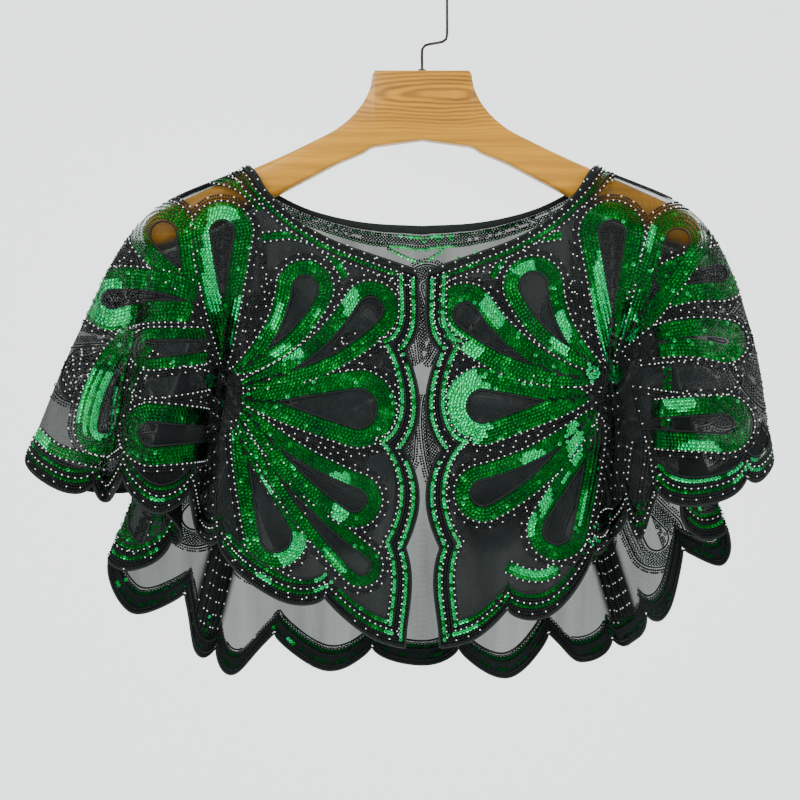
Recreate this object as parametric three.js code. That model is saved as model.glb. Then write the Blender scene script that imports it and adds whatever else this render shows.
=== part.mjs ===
// A short open-front evening capelet of scalloped black net on a contoured wooden hanger.
// Millimetres. X is to the viewer's right, Y away from the viewer, Z up.
// The origin is the inside top of the hook's loop, where the hook hangs on its rod.
import * as THREE from 'three';

// Cloth
const WALL = 1.2; // net with its sewn-down sequins and beads
const SEAM_GAP = 0.3;
const SCALLOP_DEPTH = 13; // how far a hem notch cuts in
const ROWS_PER_HEM_SCALLOP = 2; // rows of the fold tables below
const SHORTEST_CLOTH = 240; // neck to hem, over the arm of the hanger
const BINDING_SHARE = 0.022; // share of the cloth's length that the neck binding covers
const BINDING_THICK = 2.2;
const CORD_RADIUS = 1.2; // corded edge down the fronts and round the hem
const CORD_SIDES = 6;
const CORD_GAP = 0.4; // a little over the seam gap, for the tight turns of the folds
const SHOULDER_AT = 0.27; // where a meridian leaves the hanger, as a share of its length
const MIDDLE_AT = 0.62;
const SPREAD_AT_MIDDLE = 0.46; // how far a meridian has gone from shoulder to hem by its middle
const DEPTH_AT_MIDDLE = 0.66; // the same for the depth of its fold
const COLUMNS_PER_FOLD = 3;
const ROWS_PER_SCALLOP = 4; // between two notches of a centre-front edge
const FRONT_NOTCH_AT = [0.224, 0.5, 0.755]; // down a centre-front edge, as shares of its length
const FRONT_NOTCH_DEPTH = [11, 13, 8];
const SEAM_AT = 13.5; // the side seam lies in the hidden fold between these two rows

// The neckline and the line where the cloth leaves the shoulders, each for one half. Place runs from
// 0 at centre front over 51 on top of the arm to 100 at centre back.
// Columns: place, out from the centre plane, depth (behind is positive), drop below the origin.
const NECKLINE = [
  [0, 3.3, -22, 246],
  [12, 39, -22, 234],
  [21.5, 67, -21, 224],
  [31, 94, -19.5, 209],
  [42, 119, -18.5, 185],
  [47, 127.5, -13, 171],
  [51, 134, 0, 164],
  [55, 129, 13, 170.5],
  [59.5, 121, 18.5, 179],
  [69, 95, 20, 193],
  [77.5, 69, 21, 201],
  [87.5, 39, 22, 206],
  [100, 0, 22, 208],
];
const SHOULDER_LINE = [
  [0, 3.4, -25, 325],
  [13.5, 68, -26, 298],
  [25.5, 118, -25, 262],
  [33, 148, -23.5, 235],
  [40.5, 176, -22, 213],
  [45.5, 200, -20, 207],
  [51, 216, 0, 204.5],
  [55.7, 203, 20, 207],
  [61, 182, 21.5, 210],
  [71, 136, 24, 238],
  [85.5, 73, 27, 281],
  [100, 0, 28, 301],
];

// One row for each fold or scallop, from centre front round the side towards centre back. Scallop
// notches fall on the even rows. Columns: name, place on the two lines above, then the hem's point as
// out, depth and drop, and how far the cloth bellies outwards halfway down.
const LEFT_FOLDS = [
  ['front edge', 0, 14, -30, 534, -4.5],
  ['front hem', 7, 41, -40, 526, 0],
  ['front notch', 14, 74, -45, 509, 0],
  ['front side', 21, 111, -45, 494, 0],
  ['front turn', 28, 157, -34, 469, 2],
  ['valley', 31, 174, -8, 447, 2],
  ['large fold inner', 34, 178, -42, 431, 4],
  ['large fold', 38, 199, -62, 429, 6],
  ['large fold outer', 42, 227, -46, 419, 8],
  ['second valley', 44, 241, -24, 423, 8],
  ['wing root', 46, 253, -30, 424, 8],
  ['wing', 48.5, 278, -36, 412, 8],
  ['wing tip', 51, 309, -14, 400, 7],
  ['return', 54, 274, -3, 413, 4],
  ['return inner', 57, 216, -8, 428, 4],
  ['inner turn', 60, 188, -3, 447, 2],
  ['second layer inner', 62.5, 199, 14, 472, -2],
  ['second layer', 65, 229, 18, 480, -2],
  ['side edge', 68, 254, 27, 484, 0],
  ['third layer', 71, 233, 38, 516, 0],
  ['third layer inner', 74, 194, 36, 516, 0],
  ['tube', 77.5, 178, 15, 544, 0],
  ['back turn', 81, 168, 32, 558, 0],
  ['back side', 84, 151, 39, 566, 0],
  ['back notch', 88, 122, 41, 548, 0],
  ['back', 92, 77, 41, 563, 0],
  ['back inner notch', 96, 41, 39, 559, 0],
  ['centre back', 100, 0, 37, 558, 0],
];
const RIGHT_FOLDS = [
  ['front edge', 0, 14, -30, 534, -4.5],
  ['front hem', 7, 38, -40, 529, 0],
  ['front notch', 14, 63, -45, 518, 0],
  ['front side', 21, 97, -45, 506, 0],
  ['front turn', 28, 129, -35, 477, 2],
  ['valley', 32, 145, -7, 455, 2],
  ['small fold inner', 35, 155, -35, 448, 3],
  ['small fold', 38, 162, -53, 449, 4],
  ['wing root', 41.5, 177, -38, 431, 5],
  ['wing', 45, 207, -52, 424, 9],
  ['wing outer', 48, 245, -42, 419, 12],
  ['wing tip', 51, 267, -20, 398, 14],
  ['edge strip', 53, 268, -3, 395, 12],
  ['return', 56, 232, -4, 414, 6],
  ['inner turn', 59, 203, 1, 440, 2],
  ['second layer', 62.5, 219, 15, 454, 2],
  ['side edge', 66, 246, 22, 461, 3],
  ['third layer', 70, 240, 31, 477, 4],
  ['third layer notch', 74, 214, 31, 479, 2],
  ['tube outer', 77.5, 195, 18, 512, 0],
  ['tube', 80, 180, 4, 528, 0],
  ['tube inner', 82.5, 166, 12, 535, 0],
  ['back turn', 85, 157, 34, 551, 0],
  ['back side', 88, 128, 41, 556, 0],
  ['back notch', 91, 106, 42, 548, 0],
  ['back', 94.5, 70, 42, 569, 0],
  ['back inner notch', 97.5, 31, 39, 560, 0],
];

// Hanger and hook
const HANGER_CLEARANCE = 0.3;
const HEAD_TOP = 90.5;
const HOOK_WIRE = 2.2;
const WIRE_SIDES = 8;
const HOOK_RADIUS = 19.5; // of the wire's centre line round the loop
const HOOK_LOOP_STEPS = 8;
const HOOK_STEPS = 44;
const HOOK_TIP_LEAN = 0.4; // the tip turns in a little and ends below the loop's centre
const HOOK_TIP_DROP = 7;
// The wire from above its foot up to the loop. Columns: out, drop below the origin.
const HOOK_STEM = [
  [0, 84.2],
  [0, 75],
  [0.6, 71.6],
  [3, 69.6],
  [10, 68.2],
  [16.5, 66.8],
  [19, 64.6],
  [19.5, 60],
  [19.5, 48],
  [19.5, 34],
];
const COLLAR_RADIUS = 3.6;
const COLLAR_TOP_RADIUS = 2.2;
const COLLAR_HEIGHT = 2;
const COLLAR_RIM = 0.8;
const COLLAR_SIDES = 16;
// Half of the hanger, centre to tip. Columns: out, top drop, bottom drop, half depth, chamfer.
const HANGER_SECTIONS = [
  [0, 90.5, 144, 7, 1.4],
  [36.5, 90.5, 149, 7, 1.4],
  [38.2, 93, 149.5, 7, 1.4],
  [40, 103, 150, 7, 1.6],
  [45, 114, 153.5, 7, 1.8],
  [53, 124.5, 157, 7.2, 2],
  [66, 135.5, 162.5, 7.5, 2.2],
  [84, 145, 172, 8.5, 3],
  [108, 156.5, 184.5, 9.5, 4],
  [134, 167.6, 198, 10, 5.5],
  [158, 178.5, 210, 13, 7],
  [180, 188.4, 221, 14.5, 8],
  [200, 197.5, 229, 14.5, 9],
  [210, 203, 230, 12, 8],
  [215.5, 210, 224, 6.5, 4.5],
];

// Smooth value of one column of a table at a given place, by cubic pieces through its rows
function through(places, values, at) {
  const last = places.length - 1;
  let k = 0;
  while (k < last - 1 && at > places[k + 1]) k += 1;
  const slope = (i) => {
    const a = Math.max(0, i - 1);
    const b = Math.min(last, i + 1);
    return (values[b] - values[a]) / (places[b] - places[a]);
  };
  const span = places[k + 1] - places[k];
  const t = (at - places[k]) / span;
  const t2 = t * t;
  const t3 = t2 * t;
  return (2 * t3 - 3 * t2 + 1) * values[k] + (t3 - 2 * t2 + t) * span * slope(k)
    + (3 * t2 - 2 * t3) * values[k + 1] + (t3 - t2) * span * slope(k + 1);
}

// A point on the neckline or shoulder line of one half; beyond centre back it mirrors itself
function onLine(line, place, side) {
  const places = line.map((row) => row[0]);
  const column = (c) => through(places, line.map((row) => row[c]), place);
  return new THREE.Vector3(side * column(1), column(2), -column(3));
}

// The whole ring of folds: left centre front, round the back, to right centre front
const RING = [
  ...LEFT_FOLDS.map((row) => ringRow(row, -1)),
  ...RIGHT_FOLDS.map((row) => ringRow(row, 1)).reverse(),
];
const RING_END = RING.length - 1;
const RING_PLACES = RING.map((row, i) => i);
const LEVELS = [0, SHOULDER_AT, MIDDLE_AT, 1];

// One row of a fold table as its guide points at the neck, shoulder, middle and hem
function ringRow([, place, out, depth, drop, belly], side) {
  const neck = onLine(NECKLINE, place, side);
  const shoulder = onLine(SHOULDER_LINE, place, side);
  const hem = new THREE.Vector3(side * out, depth, -drop);
  const middle = shoulder.clone().lerp(hem, SPREAD_AT_MIDDLE);
  middle.x += side * belly;
  middle.y = THREE.MathUtils.lerp(shoulder.y, hem.y, DEPTH_AT_MIDDLE);
  return [neck, shoulder, middle, hem];
}

// The meridian at ring place u as its four guide points
function guides(u) {
  return LEVELS.map((share, level) => {
    const axis = (name) => through(RING_PLACES, RING.map((points) => points[level][name]), u);
    return new THREE.Vector3(axis('x'), axis('y'), axis('z'));
  });
}

// The cloth's middle surface before its edges are scalloped: u round the ring, v from neck to hem
function plainCloth(u, v) {
  const line = guides(u);
  const axis = (name) => through(LEVELS, line.map((point) => point[name]), v);
  return new THREE.Vector3(axis('x'), axis('y'), axis('z'));
}

// 1 at the middle of a scallop, 0 at its notches
function arch(t) {
  return 1 - (2 * t - 1) ** 2;
}

// How far the hem cuts in at ring place u; the scallop at each centre-front corner is half a one
function hemCut(u) {
  const t = Math.min(u, RING_END - u) / ROWS_PER_HEM_SCALLOP;
  const fullness = t < 1 ? arch((1 + t) / 2) : arch(t % 1);
  return SCALLOP_DEPTH * (1 - fullness);
}

// How far a centre-front edge cuts in at v
function frontCut(v) {
  const stops = [0, ...FRONT_NOTCH_AT, 1];
  const depths = [0, ...FRONT_NOTCH_DEPTH, 0];
  let k = 0;
  while (k < stops.length - 2 && v > stops[k + 1]) k += 1;
  const t = (v - stops[k]) / (stops[k + 1] - stops[k]);
  const depth = depths[k] + (depths[k + 1] - depths[k]) * t;
  return depth * (1 - arch(t));
}

// The cloth with its scallops: the first and last rows of the ring are drawn in at the front edges
function cloth(u, v) {
  const hem = plainCloth(u, 1);
  const length = hem.distanceTo(plainCloth(u, 0));
  const down = v * (1 - hemCut(u) / length);
  const fromFront = Math.min(u, RING_END - u);
  let place = u;
  if (fromFront < 1) {
    const edge = u < 1 ? 0 : RING_END;
    const inner = u < 1 ? 1 : RING_END - 1;
    const spacing = plainCloth(edge, down).distanceTo(plainCloth(inner, down));
    place += (inner - edge) * (frontCut(down) / spacing) * (1 - fromFront) ** 2;
  }
  return plainCloth(place, down);
}

// Steps along u and v that measure the cloth's normal and the run of its edge
const NORMAL_STEP = 0.02;
const EDGE_STEP = 0.8;

// Outward unit normal of the cloth
function clothNormal(u, v) {
  const u0 = Math.max(0, u - NORMAL_STEP);
  const u1 = Math.min(RING_END, u + NORMAL_STEP);
  const v0 = Math.max(0, v - NORMAL_STEP);
  const v1 = Math.min(1, v + NORMAL_STEP);
  const across = plainCloth(u1, v).sub(plainCloth(u0, v));
  const down = plainCloth(u, v1).sub(plainCloth(u, v0));
  return across.cross(down).normalize();
}

function spread(from, to, count) {
  return Array.from({ length: count + 1 }, (_, i) => from + ((to - from) * i) / count);
}

// Rows down a panel, so that each front notch falls on a row
function panelRows() {
  const stops = [0, ...FRONT_NOTCH_AT, 1];
  const rows = [BINDING_SHARE];
  for (let k = 0; k < stops.length - 1; k += 1) {
    const from = Math.max(stops[k], BINDING_SHARE);
    rows.push(...spread(from, stops[k + 1], ROWS_PER_SCALLOP).slice(1));
  }
  return rows;
}

// Moves a panel's seam column back by half a seam gap
function seamPlace(seam, inwards, v) {
  const spacing = plainCloth(seam, v).distanceTo(plainCloth(seam + inwards * NORMAL_STEP, v));
  return seam + inwards * NORMAL_STEP * (SEAM_GAP / 2 / spacing);
}

// A closed wall from a grid of points with outward normals
function wallGeometry(grid, thickness) {
  const columns = grid.length;
  const rows = grid[0].length;
  const positions = [];
  for (const side of [0.5, -0.5]) {
    for (const column of grid) {
      for (const { point, normal } of column) {
        positions.push(...point.clone().addScaledVector(normal, side * thickness).toArray());
      }
    }
  }
  const index = [];
  const at = (layer, i, j) => layer * columns * rows + i * rows + j;
  const quad = (a, b, c, d) => index.push(a, b, c, a, c, d);
  for (let i = 0; i < columns - 1; i += 1) {
    for (let j = 0; j < rows - 1; j += 1) {
      quad(at(0, i, j), at(0, i + 1, j), at(0, i + 1, j + 1), at(0, i, j + 1));
      quad(at(1, i, j), at(1, i, j + 1), at(1, i + 1, j + 1), at(1, i + 1, j));
    }
  }
  const rim = (i0, j0, i1, j1) => quad(at(0, i0, j0), at(1, i0, j0), at(1, i1, j1), at(0, i1, j1));
  for (let i = 0; i < columns - 1; i += 1) {
    rim(i, 0, i + 1, 0);
    rim(i + 1, rows - 1, i, rows - 1);
  }
  for (let j = 0; j < rows - 1; j += 1) {
    rim(0, j + 1, 0, j);
    rim(columns - 1, j, columns - 1, j + 1);
  }
  return indexed(positions, index);
}

function indexed(positions, index) {
  const geometry = new THREE.BufferGeometry();
  geometry.setAttribute('position', new THREE.Float32BufferAttribute(positions, 3));
  geometry.setIndex(index);
  return geometry;
}

// Columns of a piece over ring places from..to, as a function of v: a column that lies on a side seam
// stands back from it, and one on a centre-front edge doesn't
function ringColumns(from, to) {
  const count = Math.round((to - from) * COLUMNS_PER_FOLD);
  return spread(from, to, count).map((u, i) => (v) => {
    if (i === 0 && from > 0) return seamPlace(from, 1, v);
    if (i === count && to < RING_END) return seamPlace(to, -1, v);
    return u;
  });
}

// A net panel or a neck binding
function panelGeometry(from, to, rows, thickness) {
  const grid = ringColumns(from, to).map((placeAt) => rows.map((v) => {
    const place = placeAt(v);
    return { point: cloth(place, v), normal: clothNormal(place, v) };
  }));
  return wallGeometry(grid, thickness);
}

// The corded edge runs just outside a path of edge points. Each stop holds the point, the cloth's
// normal and the direction away from the cloth.
function cordGeometry(stops) {
  const positions = [];
  for (const { point, normal, away } of stops) {
    const centre = point.clone().addScaledVector(away, CORD_RADIUS + CORD_GAP);
    for (let s = 0; s < CORD_SIDES; s += 1) {
      const angle = (2 * Math.PI * s) / CORD_SIDES;
      const corner = centre.clone()
        .addScaledVector(away, CORD_RADIUS * Math.cos(angle))
        .addScaledVector(normal, CORD_RADIUS * Math.sin(angle));
      positions.push(...corner.toArray());
    }
  }
  const index = [];
  const at = (i, s) => i * CORD_SIDES + (s % CORD_SIDES);
  for (let i = 0; i < stops.length - 1; i += 1) {
    for (let s = 0; s < CORD_SIDES; s += 1) {
      index.push(at(i, s), at(i + 1, s + 1), at(i + 1, s));
      index.push(at(i, s), at(i, s + 1), at(i + 1, s + 1));
    }
  }
  for (let s = 1; s < CORD_SIDES - 1; s += 1) {
    index.push(at(0, 0), at(0, s + 1), at(0, s));
    index.push(at(stops.length - 1, 0), at(stops.length - 1, s), at(stops.length - 1, s + 1));
  }
  return indexed(positions, index);
}

// Away from the cloth and square to its edge, where before and after are points of that edge
function squareTo(away, before, after) {
  const along = after.clone().sub(before).normalize();
  return away.addScaledVector(along, -away.dot(along)).normalize();
}

function hemStop(u) {
  const point = cloth(u, 1);
  const down = point.clone().sub(cloth(u, 1 - NORMAL_STEP)).normalize();
  const before = cloth(Math.max(0, u - EDGE_STEP), 1);
  const after = cloth(Math.min(RING_END, u + EDGE_STEP), 1);
  return { point, normal: clothNormal(u, 1), away: squareTo(down, before, after) };
}

function frontStop(edge, v) {
  const inner = edge === 0 ? NORMAL_STEP : RING_END - NORMAL_STEP;
  const point = cloth(edge, v);
  const out = point.clone().sub(cloth(inner, v)).normalize();
  const before = cloth(edge, Math.max(0, v - NORMAL_STEP));
  const after = cloth(edge, Math.min(1, v + NORMAL_STEP));
  return { point, normal: clothNormal(edge, v), away: squareTo(out, before, after) };
}

function cornerStop(edge) {
  const down = hemStop(edge);
  const away = down.away.clone().add(frontStop(edge, 1).away).normalize();
  return { ...down, away };
}

function hemStops(from, to) {
  return ringColumns(from, to).map((placeAt) => hemStop(placeAt(1)));
}

// Down the centre-front edge, round the corner and along the hem to the side seam
function frontEdging(edge) {
  const down = panelRows().slice(0, -1).map((v) => frontStop(edge, v));
  if (edge === 0) {
    return cordGeometry([...down, cornerStop(0), ...hemStops(0, SEAM_AT).slice(1)]);
  }
  const hem = hemStops(RING_END - SEAM_AT, RING_END).slice(0, -1);
  return cordGeometry([...hem, cornerStop(RING_END), ...down.reverse()]);
}

// The hanger is a row of chamfered sections from tip to tip
function hangerGeometry() {
  const half = HANGER_SECTIONS;
  const left = half.slice(1).map(([out, ...rest]) => [-out, ...rest]).reverse();
  const sections = [...left, ...half];
  const positions = [];
  for (const [x, top, bottom, depth, chamfer] of sections) {
    const ring = [
      [-depth, -top - chamfer], [-depth + chamfer, -top], [depth - chamfer, -top],
      [depth, -top - chamfer], [depth, -bottom + chamfer], [depth - chamfer, -bottom],
      [-depth + chamfer, -bottom], [-depth, -bottom + chamfer],
    ];
    for (const [y, z] of ring) positions.push(x, y, z);
  }
  const corners = 8;
  const index = [];
  const at = (i, s) => i * corners + (s % corners);
  for (let i = 0; i < sections.length - 1; i += 1) {
    for (let s = 0; s < corners; s += 1) {
      index.push(at(i, s), at(i + 1, s + 1), at(i, s + 1));
      index.push(at(i, s), at(i + 1, s), at(i + 1, s + 1));
    }
  }
  const end = sections.length - 1;
  for (let s = 1; s < corners - 1; s += 1) {
    index.push(at(0, 0), at(0, s), at(0, s + 1));
    index.push(at(end, 0), at(end, s + 1), at(end, s));
  }
  return indexed(positions, index);
}

// The hook: up out of the collar, cranked to the right, up, and round over the top to its tip
function hookGeometry() {
  const centre = -(HOOK_RADIUS - HOOK_WIRE / 2);
  const route = [[0, -HEAD_TOP + HANGER_CLEARANCE], ...HOOK_STEM.map(([out, drop]) => [out, -drop])];
  for (let k = 0; k <= HOOK_LOOP_STEPS; k += 1) {
    const angle = (Math.PI * k) / HOOK_LOOP_STEPS;
    route.push([HOOK_RADIUS * Math.cos(angle), centre + HOOK_RADIUS * Math.sin(angle)]);
  }
  route.push([-HOOK_RADIUS + HOOK_TIP_LEAN, centre - HOOK_TIP_DROP]);
  const path = new THREE.CatmullRomCurve3(route.map(([x, z]) => new THREE.Vector3(x, 0, z)));
  const corners = Array.from({ length: WIRE_SIDES }, (_, s) => {
    const angle = (2 * Math.PI * (s + 0.5)) / WIRE_SIDES;
    return new THREE.Vector2(Math.cos(angle), Math.sin(angle)).multiplyScalar(HOOK_WIRE / 2);
  });
  const section = new THREE.Shape(corners);
  section.closePath();
  return new THREE.ExtrudeGeometry(section, { steps: HOOK_STEPS, extrudePath: path, curveSegments: 1 });
}

// A thin flange round the hook's foot, turned about Z
function collarGeometry() {
  const inner = HOOK_WIRE / 2 + HANGER_CLEARANCE;
  const profile = [
    [inner, 0], [COLLAR_RADIUS, 0], [COLLAR_RADIUS, COLLAR_RIM],
    [COLLAR_TOP_RADIUS, COLLAR_HEIGHT], [inner, COLLAR_HEIGHT], [inner, 0],
  ].map(([radius, height]) => new THREE.Vector2(radius, height));
  const geometry = new THREE.LatheGeometry(profile, COLLAR_SIDES);
  geometry.rotateX(Math.PI / 2);
  geometry.translate(0, 0, -HEAD_TOP + HANGER_CLEARANCE);
  return geometry;
}

const NET = { color: 0x14171a, roughness: 0.85, metalness: 0 };
const CORD = { color: 0x0a0c0b, roughness: 0.5, metalness: 0 };
const TAPE = { color: 0x0c0e0d, roughness: 0.7, metalness: 0 };
const WOOD = { color: 0xc8923a, roughness: 0.4, metalness: 0 };
const WIRE = { color: 0x161412, roughness: 0.35, metalness: 0.9 };

const group = new THREE.Group();

function add(name, geometry, finish) {
  const mesh = new THREE.Mesh(geometry, new THREE.MeshStandardMaterial(finish));
  mesh.name = name;
  group.add(mesh);
}

const LEFT_SEAM = SEAM_AT;
const RIGHT_SEAM = RING_END - SEAM_AT;
const BINDING_ROWS = [0, BINDING_SHARE - SEAM_GAP / SHORTEST_CLOTH];
const WIDTHS = [
  ['front_left_net', 'neck_binding_left', 0, LEFT_SEAM],
  ['back_net', 'neck_binding_back', LEFT_SEAM, RIGHT_SEAM],
  ['front_right_net', 'neck_binding_right', RIGHT_SEAM, RING_END],
];
for (const [net, binding, from, to] of WIDTHS) {
  add(net, panelGeometry(from, to, panelRows(), WALL), NET);
  add(binding, panelGeometry(from, to, BINDING_ROWS, BINDING_THICK), TAPE);
}
add('front_left_edging', frontEdging(0), CORD);
add('front_right_edging', frontEdging(RING_END), CORD);
add('back_edging', cordGeometry(hemStops(LEFT_SEAM, RIGHT_SEAM)), CORD);
add('hanger_body', hangerGeometry(), WOOD);
add('hook_collar', collarGeometry(), WIRE);
add('hanger_hook', hookGeometry(), WIRE);

export default group;
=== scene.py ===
"""A short evening capelet of black net, embroidered with green sequins and beads, on a wooden hanger."""

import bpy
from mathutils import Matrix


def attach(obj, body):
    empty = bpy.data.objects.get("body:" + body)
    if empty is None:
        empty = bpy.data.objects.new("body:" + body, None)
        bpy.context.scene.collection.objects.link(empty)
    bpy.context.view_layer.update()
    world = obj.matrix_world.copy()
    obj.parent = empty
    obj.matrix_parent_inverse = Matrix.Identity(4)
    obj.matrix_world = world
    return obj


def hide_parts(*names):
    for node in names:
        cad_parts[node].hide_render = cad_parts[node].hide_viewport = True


bl_info = {
    "name": "Sequinned capelet",
    "version": (1, 0, 0),
    "blender": (4, 5, 0),
    "location": "View3D > Sidebar > Capelet",
    "description": "Makes a sequinned net capelet on its hanger, and a stage for it",
    "category": "Object",
}

import itertools
import math
import random
from collections import namedtuple

import bmesh
import bpy
import numpy as np
from bpy.props import FloatProperty, FloatVectorProperty, PointerProperty
from mathutils import Euler, Matrix, Vector, noise
from mathutils.bvhtree import BVHTree

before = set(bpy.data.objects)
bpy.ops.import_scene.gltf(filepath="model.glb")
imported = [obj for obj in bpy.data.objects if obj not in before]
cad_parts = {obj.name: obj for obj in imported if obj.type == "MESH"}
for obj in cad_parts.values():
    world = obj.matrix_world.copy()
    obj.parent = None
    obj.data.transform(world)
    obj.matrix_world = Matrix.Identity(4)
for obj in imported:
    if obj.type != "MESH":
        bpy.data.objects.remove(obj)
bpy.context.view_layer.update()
MM = 0.001

# The cloth's cut, as the solids have it, in millimetres. Place runs from 0 at centre front over 51 on
# top of the hanger's arm to 100 at centre back.
# Columns: place, out from the centre plane, depth (behind is positive), drop below the hook.
NECKLINE = (
    (0, 3.3, -22, 246), (12, 39, -22, 234), (21.5, 67, -21, 224), (31, 94, -19.5, 209),
    (42, 119, -18.5, 185), (47, 127.5, -13, 171), (51, 134, 0, 164), (55, 129, 13, 170.5),
    (59.5, 121, 18.5, 179), (69, 95, 20, 193), (77.5, 69, 21, 201), (87.5, 39, 22, 206),
    (100, 0, 22, 208),
)
SHOULDER_LINE = (
    (0, 3.4, -25, 325), (13.5, 68, -26, 298), (25.5, 118, -25, 262), (33, 148, -23.5, 235),
    (40.5, 176, -22, 213), (45.5, 200, -20, 207), (51, 216, 0, 204.5), (55.7, 203, 20, 207),
    (61, 182, 21.5, 210), (71, 136, 24, 238), (85.5, 73, 27, 281), (100, 0, 28, 301),
)
# One row for each fold or scallop, from centre front round the side to centre back.
# Columns: place, then the hem's point as out, depth and drop, and the belly halfway down.
LEFT_FOLDS = (
    (0, 14, -30, 534, -4.5), (7, 41, -40, 526, 0), (14, 74, -45, 509, 0), (21, 111, -45, 494, 0),
    (28, 157, -34, 469, 2), (31, 174, -8, 447, 2), (34, 178, -42, 431, 4), (38, 199, -62, 429, 6),
    (42, 227, -46, 419, 8), (44, 241, -24, 423, 8), (46, 253, -30, 424, 8), (48.5, 278, -36, 412, 8),
    (51, 309, -14, 400, 7), (54, 274, -3, 413, 4), (57, 216, -8, 428, 4), (60, 188, -3, 447, 2),
    (62.5, 199, 14, 472, -2), (65, 229, 18, 480, -2), (68, 254, 27, 484, 0), (71, 233, 38, 516, 0),
    (74, 194, 36, 516, 0), (77.5, 178, 15, 544, 0), (81, 168, 32, 558, 0), (84, 151, 39, 566, 0),
    (88, 122, 41, 548, 0), (92, 77, 41, 563, 0), (96, 41, 39, 559, 0), (100, 0, 37, 558, 0),
)
RIGHT_FOLDS = (
    (0, 14, -30, 534, -4.5), (7, 38, -40, 529, 0), (14, 63, -45, 518, 0), (21, 97, -45, 506, 0),
    (28, 129, -35, 477, 2), (32, 145, -7, 455, 2), (35, 155, -35, 448, 3), (38, 162, -53, 449, 4),
    (41.5, 177, -38, 431, 5), (45, 207, -52, 424, 9), (48, 245, -42, 419, 12), (51, 267, -20, 398, 14),
    (53, 268, -3, 395, 12), (56, 232, -4, 414, 6), (59, 203, 1, 440, 2), (62.5, 219, 15, 454, 2),
    (66, 246, 22, 461, 3), (70, 240, 31, 477, 4), (74, 214, 31, 479, 2), (77.5, 195, 18, 512, 0),
    (80, 180, 4, 528, 0), (82.5, 166, 12, 535, 0), (85, 157, 34, 551, 0), (88, 128, 41, 556, 0),
    (91, 106, 42, 548, 0), (94.5, 70, 42, 569, 0), (97.5, 31, 39, 560, 0),
)
LEVELS = (0, 0.27, 0.62, 1)
SPREAD_AT_MIDDLE = 0.46
DEPTH_AT_MIDDLE = 0.66
SCALLOP_DEPTH = 15
SCALLOP_ROUNDNESS = 0.68
FRONT_NOTCH_AT = (0.224, 0.5, 0.755)
FRONT_NOTCH_DEPTH = (11, 13, 8)
SEAM_AT = 13.5
BINDING_SHARE = 0.022

# Soft creases that hang from the shoulders or lie across the cloth: ring place, top and bottom as
# shares of the cloth's length, half width in ring places, and depth in millimetres.
CREASES = (
    (1.6, 0.35, 0.95, 0.5, 0.8), (3.1, 0.1, 0.6, 0.35, 1.0), (6.4, 0.05, 0.4, 0.3, 0.8),
    (9.6, 0.1, 0.7, 0.25, -0.9), (11.2, 0.2, 0.9, 0.3, 0.9), (12.4, 0.1, 0.55, 0.2, 0.7),
    (18.2, 0.2, 0.8, 0.35, 0.8), (22.6, 0.3, 1.0, 0.4, -0.9), (24.7, 0.5, 1.0, 0.3, 1.1),
    (26.4, 0.15, 0.6, 0.5, 0.8), (29.1, 0.45, 1.0, 0.35, -1.0), (31.3, 0.3, 0.9, 0.3, 0.9),
    (36.8, 0.15, 0.75, 0.3, 0.7), (42.1, 0.1, 0.6, 0.25, 0.8), (44.3, 0.05, 0.5, 0.3, -0.8),
    (47.2, 0.1, 0.45, 0.25, 0.9), (50.7, 0.1, 0.7, 0.35, 0.9), (52.6, 0.4, 0.9, 0.4, 0.8),
)
CREASE_SLANT = 0.25
CREASE_ROUNDNESS = 0.7


def through(places, values, at):
    """Smooth value of a table's column at the given places, by cubic pieces through its rows."""
    places, values = np.asarray(places, float), np.asarray(values, float)
    last = len(places) - 1
    k = np.clip(np.searchsorted(places, at, side="left") - 1, 0, last - 1)
    before = np.maximum(np.arange(last + 1) - 1, 0)
    after = np.minimum(np.arange(last + 1) + 1, last)
    slope = (values[after] - values[before]) / (places[after] - places[before])
    span = places[k + 1] - places[k]
    t = (at - places[k]) / span
    t2, t3 = t * t, t * t * t
    return (
        (2 * t3 - 3 * t2 + 1) * values[k]
        + (t3 - 2 * t2 + t) * span * slope[k]
        + (3 * t2 - 2 * t3) * values[k + 1]
        + (t3 - t2) * span * slope[k + 1]
    )


def on_line(line, place, side):
    """A point on the neckline or shoulder line of one half."""
    places = [row[0] for row in line]
    out, depth, drop = (float(through(places, [row[c] for row in line], place)) for c in (1, 2, 3))
    return np.array((side * out, depth, -drop))


def ring_row(row, side):
    """One row of a fold table as its guide points at the neck, shoulder, middle and hem."""
    place, out, depth, drop, belly = row
    neck, shoulder = on_line(NECKLINE, place, side), on_line(SHOULDER_LINE, place, side)
    hem = np.array((side * out, depth, -drop))
    middle = shoulder + (hem - shoulder) * SPREAD_AT_MIDDLE
    middle[0] += side * belly
    middle[1] = shoulder[1] + (hem[1] - shoulder[1]) * DEPTH_AT_MIDDLE
    return neck, shoulder, middle, hem


RING = np.array(
    [ring_row(row, -1) for row in LEFT_FOLDS] + [ring_row(row, 1) for row in reversed(RIGHT_FOLDS)]
)
RING_END = len(RING) - 1
RING_PLACES = np.arange(RING_END + 1)
LEFT_SEAM, RIGHT_SEAM = SEAM_AT, RING_END - SEAM_AT


def plain_cloth(u, v):
    """The cloth's middle surface in millimetres before its edges are scalloped, for arrays u and v."""
    guides = [[through(RING_PLACES, RING[:, level, axis], u) for axis in range(3)] for level in range(4)]
    weights = [through(LEVELS, [float(level == k) for k in range(4)], v) for level in range(4)]
    return np.stack([sum(weights[n] * guides[n][axis] for n in range(4)) for axis in range(3)], -1)


def arch(t):
    """1 at the middle of a scallop, 0 at its notches."""
    return 1 - (2 * t - 1) ** 2


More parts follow.
